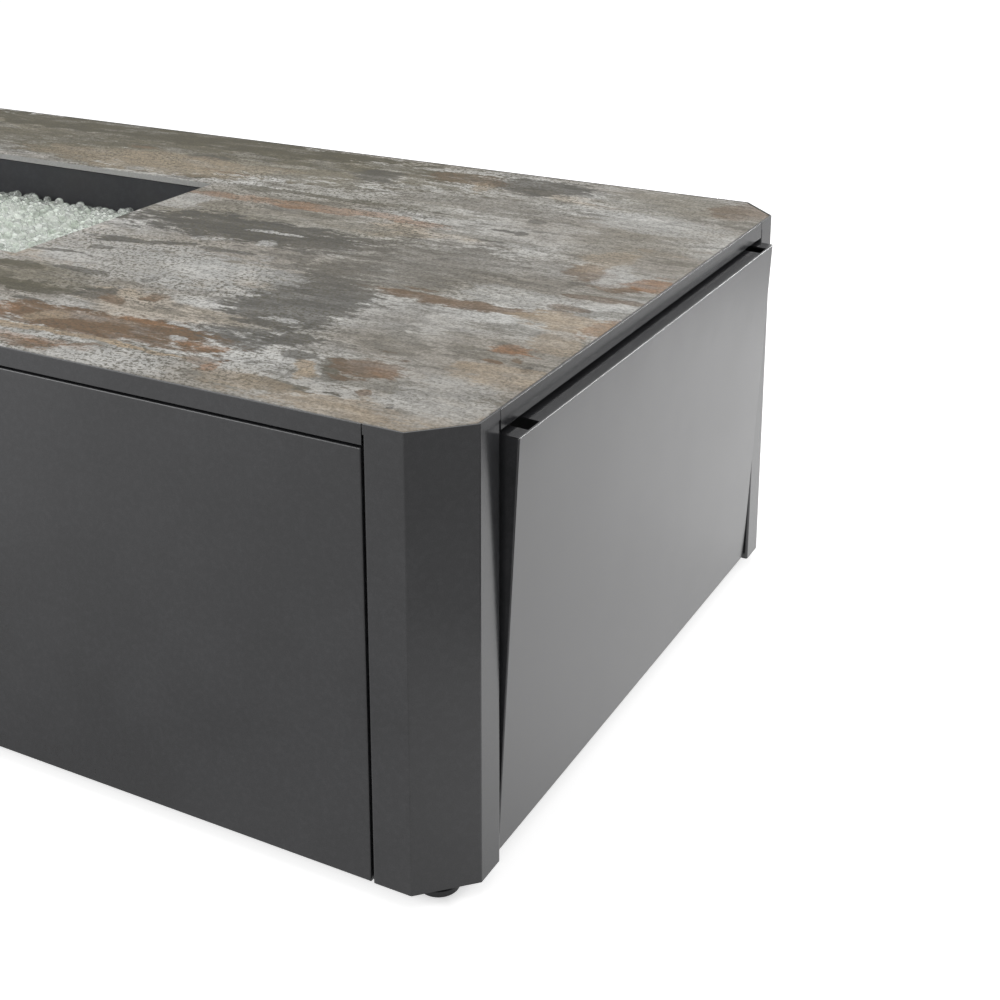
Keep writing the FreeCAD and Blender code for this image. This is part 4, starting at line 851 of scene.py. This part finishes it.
class FIRETABLE_OT_plastics(Operator):
    """Finishes the moulded parts, the wires, the electrode and the feet"""

    bl_idname = "fire_table.plastics"
    bl_label = "Plastics and Ceramic"

    def execute(self, context):
        black = (0.020, 0.020, 0.022)
        moulded = plastic_finish("moulded_black", black)
        paint(nodes_of("black_plastic"), moulded)
        paint(["control_knob"], knob_finish(black, context.scene.fire_table.details.mark_colour))
        feet = [name for name in nodes_of("black_plastic") if name.startswith("leveller_")]
        paint(feet, foot_finish(black))
        paint(nodes_of("ceramic"), electrode_finish())
        wire = plastic_finish("insulated_wire", (0.028, 0.028, 0.028), 0.42, 500.0, 0.00002)
        paint(nodes_of("wire_cover"), wire)
        return {"FINISHED"}


def heap_of(node):
    """The faces of the solid heap, to find its top with."""
    mesh = frame["nodes"][node].data
    corners = [vert.co for vert in mesh.vertices]
    return BVHTree.FromPolygons(corners, [face.vertices[:] for face in mesh.polygons])


def height_at(heap, x, y):
    """Height of the heap's top at a place."""
    return heap.ray_cast(Vector((x, y, BED_BOX[1].z + 0.01)), Vector((0, 0, -1)))[0].z


def clear_of_hood(x, y, room):
    """True if the place is further than room from the pilot's hood."""
    low, high = HOOD_BOX
    return not (low.x - room < x < high.x + room and low.y - room < y < high.y + room)


# How much the beads differ: their size and each of their axes as shares of the radius, and the step to the
# next bead as a share of the pitch. Rows lie closer than the beads in them.
BEAD_SIZES = (0.84, 1.12)
BEAD_SQUASH = (0.82, 1.04)
BEAD_STEPS = (0.90, 1.08)
ROW_STEP = 0.88


class FIRETABLE_OT_glass_beads(Operator):
    """Heaps glass beads in the burner pan"""

    bl_idname = "fire_table.glass_beads"
    bl_label = "Glass Beads"

    def execute(self, context):
        beads = context.scene.fire_table.beads
        finishes = context.scene.fire_table.finishes
        luck = random.Random(beads.seed)
        clear = bead_finish("clear_glass_beads", finishes, 0.82)
        milky = bead_finish("milky_glass_beads", finishes, 0.12)
        heap = heap_of("glass_media")
        piece("glass_beads_top", self.layer(beads, luck, heap, 0.0), clear, "base")
        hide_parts("glass_media")
        below = self.layer(beads, luck, heap, beads.layer_drop)
        piece("glass_beads_below", below, milky, "base")
        piece("glass_bed", self.bed(beads, luck, heap), bed_finish(finishes), "base")
        return {"FINISHED"}

    def layer(self, beads, luck, heap, drop):
        """One layer of squashed beads in rows, each bead a little out of its place."""
        whole = bmesh.new()
        wall = beads.radius * 1.15
        stray = beads.pitch * 0.25
        room_x, room_y = BED_BOX[1].x - wall, BED_BOX[1].y - wall
        rows = int(2 * room_y / (beads.pitch * ROW_STEP))
        for row in range(rows + 1):
            y = -room_y + row * 2 * room_y / rows
            line = bmesh.new()
            x = -room_x + luck.random() * beads.pitch
            while x <= room_x:
                px = max(-room_x, min(room_x, x + luck.uniform(-stray, stray)))
                py = max(-room_y, min(room_y, y + luck.uniform(-stray, stray)))
                if clear_of_hood(px, py, beads.radius):
                    self.bead(line, beads, luck, Vector((px, py, height_at(heap, px, py) - drop)))
                x += beads.pitch * luck.uniform(*BEAD_STEPS)
            mesh = bpy.data.meshes.new("bead_row")
            line.to_mesh(mesh)
            line.free()
            whole.from_mesh(mesh)
            bpy.data.meshes.remove(mesh)
        return whole

    def bead(self, line, beads, luck, top):
        """A squashed bead whose top is near the given place: a few stand proud, most lie level."""
        radius = beads.radius * luck.uniform(*BEAD_SIZES)
        shape = [radius * luck.uniform(*BEAD_SQUASH) for _ in range(3)]
        turn = Euler([luck.uniform(0, math.tau) for _ in range(3)]).to_matrix().to_4x4()
        rise = (beads.proud + beads.sunk) * luck.random() ** 2 - beads.sunk
        place = Matrix.Translation(top + Vector((0, 0, rise - max(shape))))
        squashed = place @ turn @ Matrix.Diagonal((*shape, 1))
        bmesh.ops.create_icosphere(line, subdivisions=2, radius=1, matrix=squashed)

    def bed(self, beads, luck, heap):
        """A closed heap just under the second layer, down into the pan, with room for the pilot's hood."""
        gap, hood_gap, ripple, depth = 0.002, 0.001, 0.003, 0.030
        solid = bmesh.new()
        bmesh.ops.create_grid(solid, x_segments=60, y_segments=32, size=1)
        room_x, room_y = BED_BOX[1].x - gap, BED_BOX[1].y - gap
        under = beads.layer_drop + beads.radius * 1.1
        inside = []
        for vert in solid.verts:
            x, y = vert.co.x * room_x, vert.co.y * room_y
            if clear_of_hood(x, y, hood_gap):
                vert.co = (x, y, height_at(heap, x, y) - under - luck.uniform(0, ripple))
            else:
                inside.append(vert)
        bmesh.ops.delete(solid, geom=inside, context="VERTS")
        made = bmesh.ops.extrude_face_region(solid, geom=solid.faces[:])
        for vert in [item for item in made["geom"] if isinstance(item, bmesh.types.BMVert)]:
            vert.co.z = BED_BOX[0].z + depth
        bmesh.ops.recalc_face_normals(solid, faces=solid.faces[:])
        return solid


# The control points of the gas line's route, in metres, from the valve's outlet to the burner's jet.
GAS_ROUTE = (
    (0.722, -0.06, 0.345), (0.650, -0.06, 0.345), (0.500, -0.06, 0.278), (0.430, -0.06, 0.278),
    (0.148, -0.06, 0.278),
)
PLAIN_RINGS = 6     # at either end, where the line has no grooves


class FIRETABLE_OT_gas_line(Operator):
    """Makes the corrugated gas line from the valve to the burner"""

    bl_idname = "fire_table.gas_line"
    bl_label = "Gas Line"

    def execute(self, context):
        sizes = context.scene.fire_table.details
        points = self.centreline(GAS_ROUTE, sizes.line_pitch / 2)
        tube = bmesh.new()
        edges = []
        for number, (point, ahead) in enumerate(points):
            near_end = min(number, len(points) - 1 - number) < PLAIN_RINGS
            radius = sizes.line_radius - (0.0 if near_end else sizes.line_groove * (number % 2))
            place = Matrix.Translation(point) @ ahead.to_track_quat("Z", "Y").to_matrix().to_4x4()
            ring = bmesh.ops.create_circle(tube, cap_ends=False, segments=20, radius=radius, matrix=place)
            round_it = {edge for vert in ring["verts"] for edge in vert.link_edges}
            loop = sorted(round_it, key=lambda edge: edge.index)
            if edges:
                bmesh.ops.bridge_loops(tube, edges=edges + loop)
            edges = loop
        rims = [edge for edge in tube.edges if edge.is_boundary]
        bmesh.ops.holes_fill(tube, edges=rims, sides=0)
        bmesh.ops.recalc_face_normals(tube, faces=tube.faces[:])
        steel = metal_finish("corrugated_stainless", (0.62, 0.62, 0.605), 0.24, scale=700.0)
        line = piece("gas_line", tube, steel, "base")
        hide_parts("gas_flex_line")
        return {"FINISHED"}

    def centreline(self, route, step):
        """Evenly spaced points and directions along the smooth curve through the route."""
        curve = bpy.data.curves.new("route", "CURVE")
        curve.dimensions = "3D"
        curve.resolution_u = 24
        spline = curve.splines.new("NURBS")
        spline.points.add(len(route) - 1)
        for point, co in zip(spline.points, route):
            point.co = (*co, 1)
        spline.order_u = 3
        spline.use_endpoint_u = True
        guide = bpy.data.objects.new("route", curve)
        bpy.context.scene.collection.objects.link(guide)
        mesh = bpy.data.meshes.new_from_object(guide)
        corners = [vert.co.copy() for vert in mesh.vertices]
        bpy.data.objects.remove(guide)
        bpy.data.curves.remove(curve)
        bpy.data.meshes.remove(mesh)
        walked = [0.0]
        for first, second in zip(corners, corners[1:]):
            walked.append(walked[-1] + (second - first).length)
        count = round(walked[-1] / step)
        found, leg = [], 0
        for number in range(count + 1):
            distance = walked[-1] * number / count
            while leg < len(corners) - 2 and walked[leg + 1] < distance:
                leg += 1
            share = (distance - walked[leg]) / (walked[leg + 1] - walked[leg])
            found.append((corners[leg].lerp(corners[leg + 1], share), corners[leg + 1] - corners[leg]))
        return found


class FIRETABLE_PT_panel(Panel):
    """Lists the table's pieces and their settings"""

    bl_label = "Fire Table"
    bl_idname = "FIRETABLE_PT_panel"
    bl_space_type = "VIEW_3D"
    bl_region_type = "UI"
    bl_category = "Fire Table"

    def draw(self, context):
        settings = context.scene.fire_table
        for title, group in (("Finishes", settings.finishes), ("Beads", settings.beads),
                             ("Details", settings.details), ("Stage", settings.stage)):
            box = self.layout.box()
            box.label(text=title)
            for name in group.__annotations__:
                box.prop(group, name)
        for operator in OPERATORS:
            self.layout.operator(operator.bl_idname)


OPERATORS = (FIRETABLE_OT_stage, FIRETABLE_OT_coated_steel, FIRETABLE_OT_slab, FIRETABLE_OT_metals,
             FIRETABLE_OT_plastics, FIRETABLE_OT_glass_beads, FIRETABLE_OT_gas_line)
CLASSES = (FireTableFinishes, FireTableBeads, FireTableDetails, FireTableStage, FireTableSettings,
           *OPERATORS, FIRETABLE_PT_panel)


def register():
    for one in CLASSES:
        bpy.utils.register_class(one)
    bpy.types.Scene.fire_table = PointerProperty(type=FireTableSettings)


def unregister():
    del bpy.types.Scene.fire_table
    for one in reversed(CLASSES):
        bpy.utils.unregister_class(one)


def main():
    register()
    bpy.ops.fire_table.stage()
    bpy.ops.fire_table.coated_steel()
    bpy.ops.fire_table.slab()
    bpy.ops.fire_table.metals()
    bpy.ops.fire_table.plastics()
    bpy.ops.fire_table.glass_beads()
    bpy.ops.fire_table.gas_line()


if __name__ == "__main__":
    main()
